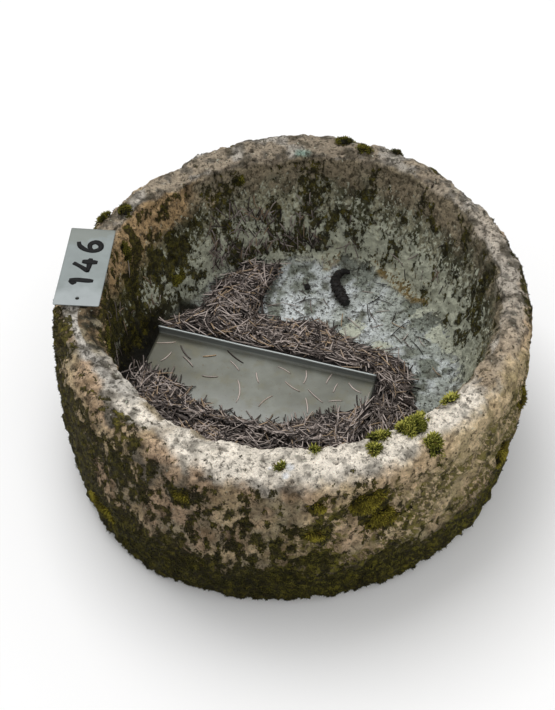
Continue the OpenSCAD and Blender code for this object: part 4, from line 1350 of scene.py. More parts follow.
def needle_bars(middles, ways, ups, lengths, bends, widths):
    """Bent bars: each sets out along its way, turns evenly by its bend within the plane
    square to its up direction, and tapers at both ends. Returns points and triangles."""
    count, steps = len(middles), NEEDLE_STEPS
    ways = unit(ways - ups * np.sum(ways * ups, axis=1, keepdims=True))
    sides = np.cross(ups, ways)
    turns = bends[:, None] * ((np.arange(steps) + 0.5) / steps - 0.5)
    pieces = ways[:, None] * cosd(turns)[..., None] + sides[:, None] * sind(turns)[..., None]
    pieces = pieces * (lengths / steps)[:, None, None]
    line = np.concatenate([np.zeros((count, 1, 3)), np.cumsum(pieces, axis=1)], axis=1)
    line = line - line.mean(axis=1, keepdims=True) + middles[:, None]
    share = np.linspace(0, 1, steps + 1)
    half = (0.5 * widths)[:, None] * (0.45 + 0.55 * np.sin(np.pi * np.clip(share, 0.08, 0.92)) ** 0.5)
    tangents = np.gradient(line, axis=1)
    across = unit(np.cross(ups[:, None], tangents))
    high = ups[:, None] * (half * NEEDLE_THICK / NEEDLE_W)[..., None]
    wide = across * half[..., None]
    rings = np.stack([line + high, line - wide - 0.6 * high, line + wide - 0.6 * high], axis=2)
    i, j = np.meshgrid(np.arange(steps), np.arange(3), indexing="ij")
    here, beside = (3 * i + j).ravel(), (3 * i + (j + 1) % 3).ravel()
    body = np.concatenate([np.stack([here, here + 3, beside + 3], 1),
                           np.stack([here, beside + 3, beside], 1)])
    ends = np.array([[0, 1, 2], [3 * steps, 3 * steps + 2, 3 * steps + 1]])
    one = np.concatenate([body, ends])
    faces = one[None] + np.arange(count)[:, None, None] * NEEDLE_POINTS
    return rings.reshape(-1, 3), faces[..., ::-1].reshape(-1, 3)


def first_kept(bars, kept, allowed, count):
    """The first needles, up to a count, that are kept by lot and lie where it is allowed:
    their numbers, points and triangles."""
    points, faces = (part.reshape(len(kept), -1, 3) for part in bars)
    chosen = np.flatnonzero(kept & allowed(points))[:count]
    return chosen, points[chosen].reshape(-1, 3), faces[:len(chosen)].reshape(-1, 3)


def needle_shades(count, rng, height=1.0, palest=0.0):
    """Four numbers for each needle: tone, warmth, how high it lies in its heap, and 1. The height
    darkens low needles as painted shade.
    """
    lots = np.stack([rng.uniform(palest, 1, count), rng.random(count), height + np.zeros(count),
                     np.ones(count)], axis=1)
    return np.repeat(lots, NEEDLE_POINTS, axis=0)


print("one needle:", NEEDLE_POINTS, "points")

# %% [markdown]
# ## The heaps
# The heaps fill the same plan as the CAD drifts. Two rows of points in plan, one beside
# the sheet and one near the wall, bound a heap, and its top falls from the near row to
# the far one. The same numbers give their place here, as shares of the sheet and as
# distances short of the wall.

# %% Places in the hollow
SHEET_L, SHEET_W, SHEET_T, FLANGE_H, HEM_W, FOLD_R = 305, 132, 1.2, 15, 4, 2
SHEET_X, SHEET_Y, SHEET_TURN = -52, -47, -16
BED_T, DRIFT_H, SEAT, SIDE_GAP, WALL_GAP, NEEDLE_T = 27, 14, 0.3, 1, 2, 1.6
SHEET_UNDER = FLOOR_T + SEAT + BED_T + SEAT
SHEET_TOP = SHEET_UNDER + SHEET_T
DRIFT_TOP = SHEET_TOP + DRIFT_H
COVER_LINE = [(0.09, 0.5), (0.19, 0.6), (0.29, 0.77), (0.5, 0.85),
              (0.67, 0.8), (0.82, 0.6), (0.92, 0.46), (0.985, 0.3)]


def on_sheet(u, v):
    """Plan point at distances u along the sheet and v towards the front, from the back
    left corner."""
    return turned_plan(u - SHEET_L / 2, SHEET_W / 2 - v, SHEET_TURN, (SHEET_X, SHEET_Y))


def sheet_place(points):
    """The reverse: distances u and v on the sheet of plan points."""
    dx, dy = points[..., 0] - SHEET_X, points[..., 1] - SHEET_Y
    u = dx * cosd(SHEET_TURN) + dy * sind(SHEET_TURN) + SHEET_L / 2
    v = dx * sind(SHEET_TURN) - dy * cosd(SHEET_TURN) + SHEET_W / 2
    return u, v


def corner_line(points, t):
    """Straight-sided line through points, read from 0 to 1."""
    points = np.asarray(points, float)
    marks = np.linspace(0, 1, len(points))
    return np.stack([np.interp(t, marks, points[:, k]) for k in range(points.shape[1])], axis=-1)


def short_of_wall(pairs, t):
    """Plan points short of the wall of the hollow, from compass angles and distances as
    shares of the hollow's diameter."""
    a, short = np.moveaxis(along(pairs, t), -1, 0)
    r = inner_r(a, FLOOR_T + FLOOR_ROUND) - WALL_GAP - np.maximum(0, short) * HOLLOW_DIA
    return at_angle(a, r, 0.0)[..., :2]


def heap_surface(near, far, ground, near_top, far_tops, rough, i, j):
    """Plan point and the heights of ground and top of a heap, at the share i along it
    and j of the way from its near row to its far row. Crossing waves make its lumps."""
    i, j = np.broadcast_arrays(i, j)
    plan = near(i) + j[..., None] * (far(i) - near(i))
    x, y = plan[..., 0], plan[..., 1]
    low = hollow_top(x, y) + SEAT if ground == 0 else ground + SEAT + 0 * x
    lump = rough * sind(5 * x + 3 * y) * sind(4 * y - 2 * x + 40) * np.minimum(1, 5 * j)
    top = near_top + (along(far_tops, i) - near_top) * np.clip(j, 0, 1) ** 1.4 + lump
    return plan, low, np.maximum(low + 1.0, top)


def above_floor(shares):
    """Heights that lie shares of the bed's thickness above the floor."""
    return [FLOOR_T + share * BED_T for share in shares]


BACK_SHARES = [0.007, 0.08, 0.15, 0.2, 0.235, 0.27, 0.3, 0.345, 0.425, 0.54, 0.67, 0.82, 1]
BACK_ROW = [(152.9, 0.05), (142.6, 0.075), (130.8, 0.074), (120.9, 0.025), (107.9, 0.006),
            (94, 0.021), (101.6, 0.103), (111.2, 0.181), (102.8, 0.244), (84.6, 0.267),
            (68.4, 0.264), (51.3, 0.291), (31.5, 0.24)]
BACK_TOPS = [0.85, 0.8, 0.75, 0.67, 0.8, 0.46, 0.19, 0.19, 0.15, 0.11, 0.11, 0.11, 0.11]


def row_on_sheet(corners):
    """Row along straight lines between corners given as distances on the sheet."""
    spots = [on_sheet(u, v) for u, v in corners]
    return lambda t: corner_line(spots, t)


def row_by_wall(pairs):
    """Row along a smooth curve that keeps short of the wall."""
    return lambda t: short_of_wall(pairs, t)


past_end, past_front = SHEET_L + SIDE_GAP, SHEET_W + SIDE_GAP
straight_back_row = short_of_wall(BACK_ROW, np.linspace(0, 1, len(BACK_ROW)))
cover_spots = [on_sheet(u * SHEET_L, v * SHEET_W) for u, v in COVER_LINE]
cover_front = [(1, 0.4), (1, 1), (0.75, 1), (0.5, 1), (0.25, 1), (0.004, 1), (0.004, 0.6)]
HEAPS = {
    "back": (row_on_sheet([(u * SHEET_L, -SIDE_GAP) for u in BACK_SHARES]),
             lambda t: corner_line(straight_back_row, t),
             0, SHEET_TOP + FLANGE_H - 1, above_floor(BACK_TOPS), 2.5),
    "right": (row_on_sheet([(past_end, -SIDE_GAP), (past_end, SHEET_W)]),
              row_by_wall([(28, 0.24), (14, 0.17), (2, 0.16), (-13, 0.14), (-26, 0.11),
                           (-41, 0.07), (-58, 0)]),
              0, SHEET_TOP + 0.7 * DRIFT_H, above_floor([0.11, 0.15, 0.15, 0.19, 0.3, 0.6, 1.26]), 2.5),
    "front": (row_on_sheet([(past_end, past_front), (0.67 * SHEET_L, past_front),
                            (0.33 * SHEET_L, past_front), (-SIDE_GAP, past_front),
                            (-SIDE_GAP, 0.55 * SHEET_W)]),
              row_by_wall([(300, 0), (274, 0), (243, 0), (202, 0), (184, 0)]),
              0, DRIFT_TOP, above_floor([1.26, 1.41, 1.41, 1.33, 1.26]), 1.5),
    "bed": (row_on_sheet([(SHEET_L - 5, 5), (16, 5)]),
            row_on_sheet([(SHEET_L - 5, SHEET_W - 5), (16, SHEET_W - 5)]),
            0, SHEET_UNDER - SEAT, [SHEET_UNDER - SEAT] * 2, 0),
    "sheet": (lambda t: along(cover_spots, 1 - t),
              row_on_sheet([(u * SHEET_L - 0.5, v * SHEET_W - 0.5) for u, v in cover_front]),
              SHEET_TOP, SHEET_TOP + SEAT + NEEDLE_T, [DRIFT_TOP] * 2, 1.2),
}
print("heaps:", ", ".join(HEAPS))

# %% Heaps of buried needles


def heap_mesh(name, heap, sunk, body, columns=72, rows=18):
    """Closed dark heap, partly buried needles and partly painted shade, whose top lies a little below
    the needles, over small lumps.
    """
    shape = HEAPS[heap]
    i, j = np.meshgrid(np.linspace(0, 1, columns), np.linspace(0, 1, rows), indexing="ij")
    plan, low, top = heap_surface(*shape, i, j)
    rough = layered_noise(at_height(plan, 0.0), 9, 157, 2)
    top = np.maximum(low + 0.5, top - sunk - 3.0 * rough)
    rings = np.concatenate([at_height(plan, low), at_height(plan, top)[:, ::-1]], axis=1)
    points, faces = capped(rings)
    return new_mesh(name, points, [faces], body)


def thatch(name, heap, count, seed, body, allowed, lift=(-4.0, 2.4), lie=10.0):
    """Needles strewn over a heap: places drawn with a chance equal to the local area,
    each lying along the slope, and kept out of where they are not allowed."""
    shape = HEAPS[heap]
    rng = np.random.default_rng(seed)
    pool = 6 * count
    i, j = rng.random(pool), rng.random(pool)

    def surface(i, j):
        plan, low, top = heap_surface(*shape, i, j)
        return at_height(plan, top)

    step = 0.01
    across = surface(np.clip(i + step, 0, 1), j) - surface(np.clip(i - step, 0, 1), j)
    outward = surface(i, np.clip(j + step, 0, 1)) - surface(i, np.clip(j - step, 0, 1))
    cross = np.cross(across, outward)
    area = np.linalg.norm(cross, axis=1)
    up = unit(cross * np.sign(cross[:, 2:3]))
    kept = rng.random(pool) < area / np.quantile(area, 0.98)
    high = rng.random(pool)
    middles = surface(i, j) + up * (lift[0] + (lift[1] - lift[0]) * high)[:, None]
    heading = 360 * rng.random(pool)
    tilt = np.clip(rng.normal(0, lie, pool), -26, 26)
    ways = at_angle(heading, 1.0, np.tan(np.radians(tilt)))
    ups = unit(up + 0.22 * rng.normal(size=(pool, 3)))
    lengths = NEEDLE_L * rng.uniform(0.9, 1.6, pool)
    bends = rng.normal(0, 24, pool)
    widths = NEEDLE_W * rng.uniform(0.85, 1.3, pool)
    bars = needle_bars(middles, ways, ups, lengths, bends, widths)
    chosen, points, faces = first_kept(bars, kept, allowed, count)
    piece = new_mesh(name, points, [faces], body)
    point_colours(piece, "lots", needle_shades(len(chosen), rng, high[chosen]))
    print(name, len(chosen), "needles,", len(faces), "faces")
    return piece


def in_hollow(points):
    """True for needles that stay clear of the wall and above the floor."""
    x, y, z = np.moveaxis(points, -1, 0)
    a = np.degrees(np.arctan2(y, x))
    inside = np.hypot(x, y) < inner_r(a, np.maximum(z, FLOOR_T + FLOOR_ROUND)) - 0.6
    return (inside & (z > hollow_top(x, y) - 0.5)).all(axis=1)


def off_sheet(points):
    """True for needles in the hollow of which no point lies over the sheet."""
    u, v = sheet_place(points)
    over = (u > -0.4) & (u < SHEET_L + 0.4) & (v > -0.6) & (v < SHEET_W + 0.4)
    return in_hollow(points) & ~over.any(axis=1)


def on_top_of_sheet(points):
    """True for needles that rest on the sheet or only just reach past its edges."""
    u, v = sheet_place(points)
    inside = (u > -6) & (u < SHEET_L + 8) & (v > 4) & (v < SHEET_W + 10)
    return (inside & (points[..., 2] > SHEET_TOP + 0.3)).all(axis=1) & in_hollow(points)


def pressed_by_sheet(points):
    """True for needles that lie wholly below the underside of the sheet."""
    return (points[..., 2] < SHEET_UNDER - 0.2).all(axis=1) & in_hollow(points)


litter = []
for heap, count, seed in (("back", 1900, 31), ("right", 1000, 33), ("front", 1900, 35)):
    base = heap_mesh("litter_" + heap, heap, 3.0, "basin")
    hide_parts("needle_drift_" + heap)
    litter += [base, thatch("needles_" + heap, heap, count, seed, "basin", off_sheet)]
bed = heap_mesh("litter_bed", "bed", 0.4, "basin")
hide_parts("needle_bed")
pressed = thatch("needles_pressed", "bed", 1500, 39, "basin", pressed_by_sheet,
                 lift=(-3.4, -1.0), lie=1.2)
base = heap_mesh("litter_on_sheet", "sheet", 1.6, "sheet")
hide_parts("needles_on_sheet")
over = thatch("needles_over_sheet", "sheet", 1300, 37, "sheet", on_top_of_sheet,
              lift=(-1.0, 1.6), lie=7.0)
litter += [bed, pressed, base, over]

# %% [markdown]
# Weathered needles are grey brown with a mauve cast. About one in six is still tan, and
# many are dark with damp. Each needle drew its lots above, and the material turns them
# into tone and warmth, so that no two neighbours match. It also darkens needles that lie
# low in a heap, which is painted shade.

# %% Needle material
needle_finish, tree, shader, place = new_material("weathered_needles")
lots = attribute(tree, "lots")["Color"]
tone_lot, warm_lot, height_shade_lot = add_node(tree, "ShaderNodeSeparateColor", {0: lots}).outputs
colour = mixed(tree, between(tree, tone_lot, 0.05, 0.95), rgba(84, 73, 68), rgba(204, 190, 182))
for lot, start, end, other in ((warm_lot, 0.84, 0.97, rgba(186, 160, 130)),
                               (warm_lot, 0.3, 0.1, rgba(52, 44, 40)),
                               # Needles that lie lower in a heap are darker: painted shade.
                               (height_shade_lot, 0.9, 0.1, rgba(30, 24, 21))):
    colour = mixed(tree, between(tree, lot, start, end), colour, other)
finish(tree, shader, mottled(tree, place, colour, 5.0, 0.22), 0.6, 0.35)

# Near black: partly dark buried needles, partly painted shade in the gaps of the thatch.
heap_shade_finish, tree, shader, place = new_material("buried_needles_and_shade")
finish(tree, shader, mottled(tree, place, rgba(24, 19, 16), 4.0, 0.5), 0.9,
       Normal=gritty(tree, place, 4.0, 2.5))
for piece in litter:
    strewn = piece.name.startswith("needles")
    dress(needle_finish if strewn else heap_shade_finish, piece)
print("needle materials ready")

# %% [markdown]
# ## Strays
# Needles also lie one by one: fifteen where the CAD model has them on the sheet and a few
# more beside them, some on the bare floor, and some that hang on the rough wall where
# they fell. Thin twigs and crumbs of bark lie on the floor.

# %% Single needles
LOOSE = [(0.05, 0.12, 20, 8, 1), (0.15, 0.19, -42, 30, 1.1), (0.18, 0.29, -36, -14, 0.9),
         (0.26, 0.16, 25, 10, 0.7), (0.37, 0.1, -29, 16, 1.2), (0.385, 0.21, -38, -20, 0.8),
         (0.7, 0.15, -83, -40, 0.9), (0.445, 0.52, -75, -46, 1.5), (0.57, 0.56, -118, 34, 1),
         (0.92, 0.15, -31, 44, 0.9), (0.84, 0.2, -95, 20, 0.6), (0.86, 0.36, -160, 24, 0.7),
         (0.75, 0.5, -69, -18, 1), (0.77, 0.36, -33, 12, 1.1), (0.66, 0.31, -25, 26, 1)]
MORE_LOOSE = [(0.08, 0.3, 66, 30, 0.8), (0.5, 0.3, -62, 12, 0.7), (0.6, 0.12, -20, -24, 0.8),
              (0.3, 0.42, 12, 26, 0.8), (0.8, 0.1, -100, 18, 0.7), (0.95, 0.3, -70, 22, 0.8)]


def lying(table, z, seed):
    """Needles lying flat on the sheet, each given by its share of the length and width,
    its turn, its bend and its share of the usual length."""
    rng = np.random.default_rng(seed)
    u, v, turn, bend, size = np.array(table).T
    middles = at_height(on_sheet(u * SHEET_L, v * SHEET_W), z)
    heading = SHEET_TURN + turn
    ways = at_angle(heading, 1.0, 0.02 * rng.normal(size=len(u)))
    ups = np.tile([0.0, 0.0, 1.0], (len(u), 1))
    widths = np.full(len(u), 1.25 * NEEDLE_W)
    points, faces = needle_bars(middles, ways, ups, NEEDLE_L * size, bend, widths)
    return points, faces, needle_shades(len(u), rng, 1.0, 0.6)


def needles_from(name, parts, body, node_name=None):
    """One mesh of single needles, in the place of a CAD node where one is named."""
    points, faces, lots = joined(parts)
    piece = new_mesh(name, points, [faces], body)
    if node_name:
        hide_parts(node_name)
    point_colours(piece, "lots", lots)
    dress(needle_finish, piece)
    print(name, len(lots) // NEEDLE_POINTS, "needles")
    return piece


ON_SHEET_Z = SHEET_TOP + SEAT + 0.4
needles_from("single_needles", [lying(LOOSE, ON_SHEET_Z, 41), lying(MORE_LOOSE, ON_SHEET_Z, 42)],
             "sheet", "loose_needles")


def strewn_on_floor(count, seed, length, width):
    """Single needles on the bare floor, flat and clear of the drifts and the sheet."""
    rng = np.random.default_rng(seed)
    tries = 6 * count
    a, r = rng.uniform(-40, 108, tries), 215 * np.sqrt(rng.random(tries))
    middles = at_angle(a, r, 0.0)
    u, v = sheet_place(middles)
    behind = v < -70 - 25 * rng.random(tries)
    open_floor = np.clip(-v / 150, 0, 1) * np.clip(a / 60 + 1, 0, 1) > 0.02
    beside = (u > SHEET_L + 62) & (v < 60) & open_floor
    middles[:, 2] = hollow_top(*middles.T[:2]) + 0.6
    ways = at_angle(360 * rng.random(tries), 1.0, 0.0)
    ups = unit(at_angle(a, -0.1 * (r > 190), 1.0))
    lengths = length * rng.uniform(0.7, 1.2, tries)
    bars = needle_bars(middles, ways, ups, lengths, rng.normal(0, 26, tries),
                       np.full(tries, float(width)))
    chosen, points, faces = first_kept(bars, behind | beside, in_hollow, count)
    return points, faces, needle_shades(len(chosen), rng)


def hanging_on_wall(count, seed, angles_from, angles_to, low, high):
    """Needles caught on the wall of the hollow, most of them pointing down."""
    rng = np.random.default_rng(seed)
    a = rng.uniform(angles_from, angles_to, count)
    z = low + (high - low) * rng.random(count) ** 1.6
    r = inner_r(a, z) - 1.6
    swing = rng.normal(0, 32, count)
    ways = np.stack([-sind(a) * sind(swing), cosd(a) * sind(swing), cosd(swing)], axis=1)
    points, faces = needle_bars(at_angle(a, r, z), ways, unit(at_angle(a, -1.0, 0.1)),
                                NEEDLE_L * rng.uniform(0.6, 1.1, count),
                                rng.normal(0, 20, count), np.full(count, NEEDLE_W))
    # A height of 0.55 darkens these needles a little, as painted shade.
    return points, faces, needle_shades(count, rng, 0.55)


needles_from("stray_needles", [strewn_on_floor(34, 43, 22, 1.4),
                               hanging_on_wall(150, 47, 80, 122, 106, 190),
                               hanging_on_wall(40, 49, 150, 205, 112, 210),
                               hanging_on_wall(16, 51, 20, 84, 100, 190)], "basin")

# %% [markdown]
# ## The folded sheet
# It is a flat sheet of grey metal with its back edge bent up and hemmed. A plane with a
# Solidify modifier could stand for it, but would miss the hem. So its section is one
# closed line, which is carried along its length. The sheet is dented a little, so the
# line sinks and sways by less than a millimetre.

# %% Folded sheet


def polyline(corners, steps):
    """Points along straight lines between corners, with a count of steps for each line."""
    corners = np.asarray(corners, float)
    lines = [corners[k] + np.linspace(0, 1, n, endpoint=False)[:, None] * (corners[k + 1] - corners[k])
             for k, n in enumerate(steps)]
    return np.concatenate(lines + [corners[-1:]])


def sheet_section():
    """Closed line round the section: distance from the back and height, from the front
    edge along the underside, up the flange, over the hem and back along the top."""
    bend, top = FOLD_R + SHEET_T, FLANGE_H + SHEET_T
    turn = np.linspace(0, 90, 9)
    under_bend = np.stack([bend - bend * sind(turn), bend - bend * cosd(turn)], axis=1)
    over_bend = bend - FOLD_R * np.stack([sind(90 - turn), cosd(90 - turn)], axis=1)
    hem_edge, crown = 1.9 * SHEET_T, 0.4
    hem = polyline([(0, bend), (0, top - crown), (crown, top), (hem_edge - crown, top),
                    (hem_edge, top - crown), (hem_edge, top - HEM_W), (SHEET_T, top - HEM_W),
                    (SHEET_T, bend)], [8, 1, 1, 1, 3, 1, 7])
    under = polyline([(SHEET_W, 0), (bend, 0)], [26])
    over = polyline([(bend, SHEET_T), (SHEET_W - 0.3, SHEET_T), (SHEET_W, SHEET_T / 2)], [26, 1])
    return np.concatenate([under[:-1], under_bend[:-1], hem[:-1], over_bend[:-1], over])


section = sheet_section()
u_steps = np.linspace(0, SHEET_L, 90)
u_grid, v_grid = np.meshgrid(u_steps, section[:, 0], indexing="ij")
rise = np.broadcast_to(section[:, 1], u_grid.shape)
sheet_spots = np.stack([u_grid, v_grid, 0 * u_grid], axis=-1)
sag = 1.3 * (layered_noise(sheet_spots, 75, 163, 2) - 0.5) * np.clip(v_grid / 20, 0, 1)
sway = 1.2 * (noise(sheet_spots * np.array([1, 0, 0]), 60, 167) - 0.5)
sway *= np.clip(rise / FLANGE_H, 0, 1)
sheet_grid = at_height(on_sheet(u_grid, v_grid + sway), SHEET_UNDER + rise + sag)
count = len(section)
sheet_quads = closed_grid_faces(len(u_steps), count)
ends = [np.arange(count)[None, ::-1], (np.arange(count) + (len(u_steps) - 1) * count)[None]]
metal_sheet = new_mesh("metal_sheet", sheet_grid.reshape(-1, 3), [sheet_quads, *ends],
                       "sheet")
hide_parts("folded_sheet")
print("sheet:", len(metal_sheet.data.polygons), "faces")

# %% [markdown]
# The metal has gone dull: an olive grey, darker at its left end, paler towards the front,
# bluer on the flange, and specked with brown where needles rotted. Light catches the fold
# and the hem. The scratches are noise drawn out along the sheet. All of this follows the
# sheet's own length and width, so Object coordinates are turned by the sheet's angle first.

# %% Metal of the sheet
sheet_finish, tree, shader, place = new_material("dull_metal")
square_on = mapped(tree, place, (0, 0, -SHEET_TURN))
turned_x = SHEET_X * cosd(SHEET_TURN) + SHEET_Y * sind(SHEET_TURN)
turned_y = SHEET_Y * cosd(SHEET_TURN) - SHEET_X * sind(SHEET_TURN)
length_way, width_way, _ = parts_of(tree, square_on)
height = parts_of(tree, place)["Z"]
clouds = noise_node(tree, square_on, 60.0, 3.0, 0.55)
ragged = sum_of(tree, "MULTIPLY_ADD", clouds, 0.07, -0.035)


def reached(distance, start, end):
    """Mask from 0 to 1 between two distances in millimetres."""
    return between(tree, distance, start * MM, end * MM)


# Darker towards the left end, and paler towards the front.
darker_left_end = reached(sum_of(tree, "ADD", length_way, ragged), turned_x - 50, turned_x - 135)
paler_front = reached(sum_of(tree, "ADD", width_way, ragged), turned_y + 5, turned_y - 50)
fold_line = sum_of(tree, "MULTIPLY", reached(height, SHEET_TOP + 0.6, SHEET_TOP + 1.4),
                   reached(height, SHEET_TOP + 4.4, SHEET_TOP + 3))
hem_z = SHEET_UNDER + FLANGE_H
colour = mixed(tree, between(tree, clouds, 0.35, 0.65), rgba(98, 99, 90), rgba(118, 120, 112))
colour = stained(tree, colour, rgba(78, 76, 62), darker_left_end, 0.7)
colour = stained(tree, colour, rgba(150, 152, 150), paler_front, 0.55)
colour = mottled(tree, square_on, colour, 14.0, 0.1)
drawn = mapped(tree, square_on, (0, 0, 11.46), (0.05, 1.0, 1.0))
for mask, strength, other in (
        (speckled(tree, square_on, 20.0, 0.36, 0.1), 0.4, rgba(104, 100, 78)),
        (speckled(tree, square_on, 3.2, 0.17), 0.6, rgba(92, 72, 50)),
        (reached(height, SHEET_TOP + 1, SHEET_TOP + 5), 0.8, rgba(146, 151, 153)),
        (fold_line, 0.8, rgba(190, 194, 190)),
        (reached(height, hem_z - 0.8, hem_z + 0.4), 0.7, rgba(178, 184, 182)),
        (speckled(tree, drawn, 1.6, 0.1), 0.25, rgba(176, 182, 178))):
    colour = stained(tree, colour, other, mask, strength)
finish(tree, shader, colour, sum_of(tree, "MULTIPLY_ADD", clouds, 0.25, 0.36), Metallic=0.35,
       Normal=gritty(tree, square_on, 9.0, 0.12))
dress(sheet_finish, metal_sheet)
print("sheet finished")

# %% [markdown]
# ## The lot tag
# The tag is a plate with round corners and one hole, lying on the rim. A Boolean modifier
# could cut the hole, but it leaves long thin faces. So lines from the edge of the hole
# to the outline give a grid for its top, which goes round the rim of the plate and back
# under it: one closed loop of rings. A plain number is brushed on it in black.

# %% Tag plate
TAG_L, TAG_W, TAG_T, TAG_HOLE, TAG_HOLE_IN, TAG_CORNER = 136, 58, 1.6, 5, 12, 2
TAG_AT, TAG_IN, TAG_TURN = 173.7, 35.4, 86.5
tag_middle = at_angle(TAG_AT, RIM_DIA / 2 - TAG_IN, 0.0)[:2]


def on_tag(x, y):
    """Plan point at x along the tag and y across it, from its middle."""
    return turned_plan(x, y, TAG_TURN, tag_middle)


tag_x, tag_y = np.meshgrid(np.arange(-TAG_L / 2, TAG_L / 2 + 1, 4),
                           np.arange(-TAG_W / 2, TAG_W / 2 + 1, 4))
under_tag = on_tag(tag_x, tag_y)
tag_under = rim_top(under_tag[..., 0], under_tag[..., 1]).max() + SEAT


def tag_curl(x, y):
    """How far the plate has curled up at its ends."""
    return 0.7 * (x / (TAG_L / 2)) ** 2 + 0.3 * (x / (TAG_L / 2)) * (y / (TAG_W / 2))


def rounded_outline(half_l, half_w, corner, per_corner, per_side):
    """Points round a rectangle with round corners, anticlockwise."""
    points = []
    for quarter, (sx, sy) in enumerate(((1, 1), (-1, 1), (-1, -1), (1, -1))):
        turn = np.linspace(90 * quarter, 90 * quarter + 90, per_corner)
        points.append(np.stack([sx * (half_l - corner) + corner * cosd(turn),
                                sy * (half_w - corner) + corner * sind(turn)], axis=1))
    closed = points + [points[0][:1]]
    steps = np.linspace(0, 1, per_side + 2)[1:-1, None]
    lines = [here[-1] + steps * (there[0] - here[-1]) for here, there in zip(closed, closed[1:])]
    return np.concatenate([part for pair in zip(points, lines) for part in pair])


edge = rounded_outline(TAG_L / 2, TAG_W / 2, TAG_CORNER, 6, 14)
hole_middle = np.array([TAG_HOLE_IN - TAG_L / 2, 0.0])
toward = np.degrees(np.arctan2(*(edge - hole_middle).T[::-1]))
hole_edge = hole_middle + at_angle(toward, TAG_HOLE / 2, 0.0)[:, :2]
shares = np.array([0, 0.03, 0.08, 0.16, 0.28, 0.42, 0.58, 0.74, 0.88, 0.97, 1.0])[:, None, None]
flat_rings = hole_edge + shares * (edge - hole_edge)
lift = tag_curl(flat_rings[..., 0], flat_rings[..., 1])
top_rings = at_height(on_tag(*np.moveaxis(flat_rings, -1, 0)), tag_under + TAG_T + lift)
soft = np.array([0.25] + [0] * 9 + [0.25])[:, None]
top_rings[..., 2] -= soft
low_rings = top_rings.copy()
low_rings[..., 2] -= TAG_T - 2 * soft
tag_rings = np.concatenate([top_rings, low_rings[::-1]])
tag_rings = np.concatenate([tag_rings, tag_rings[:1]])
tag_quads = closed_grid_faces(len(tag_rings), len(edge))
wrap = (len(tag_rings) - 1) * len(edge)
tag_quads = np.where(tag_quads >= wrap, tag_quads - wrap, tag_quads)[:, ::-1]
tag_plate = new_mesh("tag_plate", tag_rings[:-1].reshape(-1, 3), [tag_quads], "tag")
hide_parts("lot_tag")
print("tag:", len(tag_plate.data.polygons), "faces")

# %% Brushed number
ONE = [[(-5, 6), (-3, 8), (0, 12)], [(0, 12.5), (0.6, 4), (0.2, -4), (0, -12)]]
FOUR = [[(1, 12.5), (-3, 5), (-8, -3), (-8.4, -4)], [(-8.6, -3.6), (-3, -4.2), (3, -4), (8, -4.4)],
        [(3.4, 4), (3.2, -2), (3, -12)]]
SIX = [[(5.5, 12), (0, 10), (-4.8, 3), (-6, -5), (-2.6, -11.4), (3, -11.2), (6.2, -6), (3.6, -0.8),
        (-1.4, -0.6), (-5.2, -4)]]
NUMBER_MIDDLES = [-25, 4, 36]
DIGIT_SCALE = np.array([1.35, 1.25])
STROKE_W, STROKE_T = 7.4, 0.22


def stroke(points, middle, seed):
    """One brush stroke: a flat strip along a smooth path on the tag, wider where the brush
    was pressed, closed below and at both ends."""
    steps = 26
    path = along(points, np.linspace(0, 1, steps)) * DIGIT_SCALE + np.array([middle, 0.0])
    way = unit(np.gradient(path, axis=0))
    side = np.stack([-way[:, 1], way[:, 0]], axis=1)
    pressed = 0.78 + 0.5 * noise(at_height(path, 0.0), 9, seed)
    half = 0.5 * STROKE_W * pressed * np.sqrt(np.sin(np.pi * np.linspace(0.12, 0.88, steps)))
    left, right = path + side * half[:, None], path - side * half[:, None]
    rings = []
    for flat, height in ((left, -0.05), (right, -0.05), (right, STROKE_T), (left, STROKE_T)):
        rings.append(at_height(on_tag(*flat.T), tag_under + TAG_T + tag_curl(*flat.T) + height))
    grid = np.stack(rings, axis=1)
    faces = as_triangles(closed_grid_faces(steps, 4))
    last = 4 * (steps - 1)
    caps = np.array([[0, 2, 1], [0, 3, 2], [last, last + 1, last + 2], [last, last + 2, last + 3]])
    return grid.reshape(-1, 3), np.concatenate([faces, caps])[:, ::-1], np.zeros(4 * steps)


strokes = []
for k, (digit, middle) in enumerate(zip((ONE, FOUR, SIX), NUMBER_MIDDLES)):
    strokes += [stroke(path, middle, 173 + k) for path in digit]
points, faces, _ = joined(strokes)
tag_number = new_mesh("tag_number", points, [faces], "tag")
print("number:", len(strokes), "strokes")

# %% Tag materials
tag_finish, tree, shader, place = new_material("painted_plate")
colour = mottled(tree, place, rgba(126, 134, 133), 30.0, 0.14)
ragged = sum_of(tree, "MULTIPLY_ADD", noise_node(tree, place, 34.0), 0.09, -0.045)
along_tag = sum_of(tree, "ADD", parts_of(tree, place)["Y"], ragged)
middle_y = tag_middle[1]
for start, end, strength, other in ((middle_y - 20, middle_y - 58, 0.45, rgba(176, 182, 184)),
                                    (middle_y + 40, middle_y + 52, 0.55, rgba(112, 116, 106))):
    colour = stained(tree, colour, other, reached(along_tag, start, end), strength)
colour = stained(tree, colour, rgba(110, 104, 88), speckled(tree, place, 2.6, 0.05), 0.5)
finish(tree, shader, colour, 0.42, Normal=gritty(tree, place, 12.0, 0.1))
dress(tag_finish, tag_plate)

number_finish, tree, shader, place = new_material("black_paint")
finish(tree, shader, mottled(tree, place, rgba(9, 9, 10), 3.0, 0.35), 0.6, 0.15)
dress(number_finish, tag_number)
print("tag finished")

# %% [markdown]
# ## Fallen catkin and bud
# A dark catkin lies hooked on the floor. Its body is a tube along a smooth path, thickest
# near its start. Bumps alone would leave its outline smooth, so hundreds of small scales
# stand off it. The bud beside it is a ball of overlapping scales.

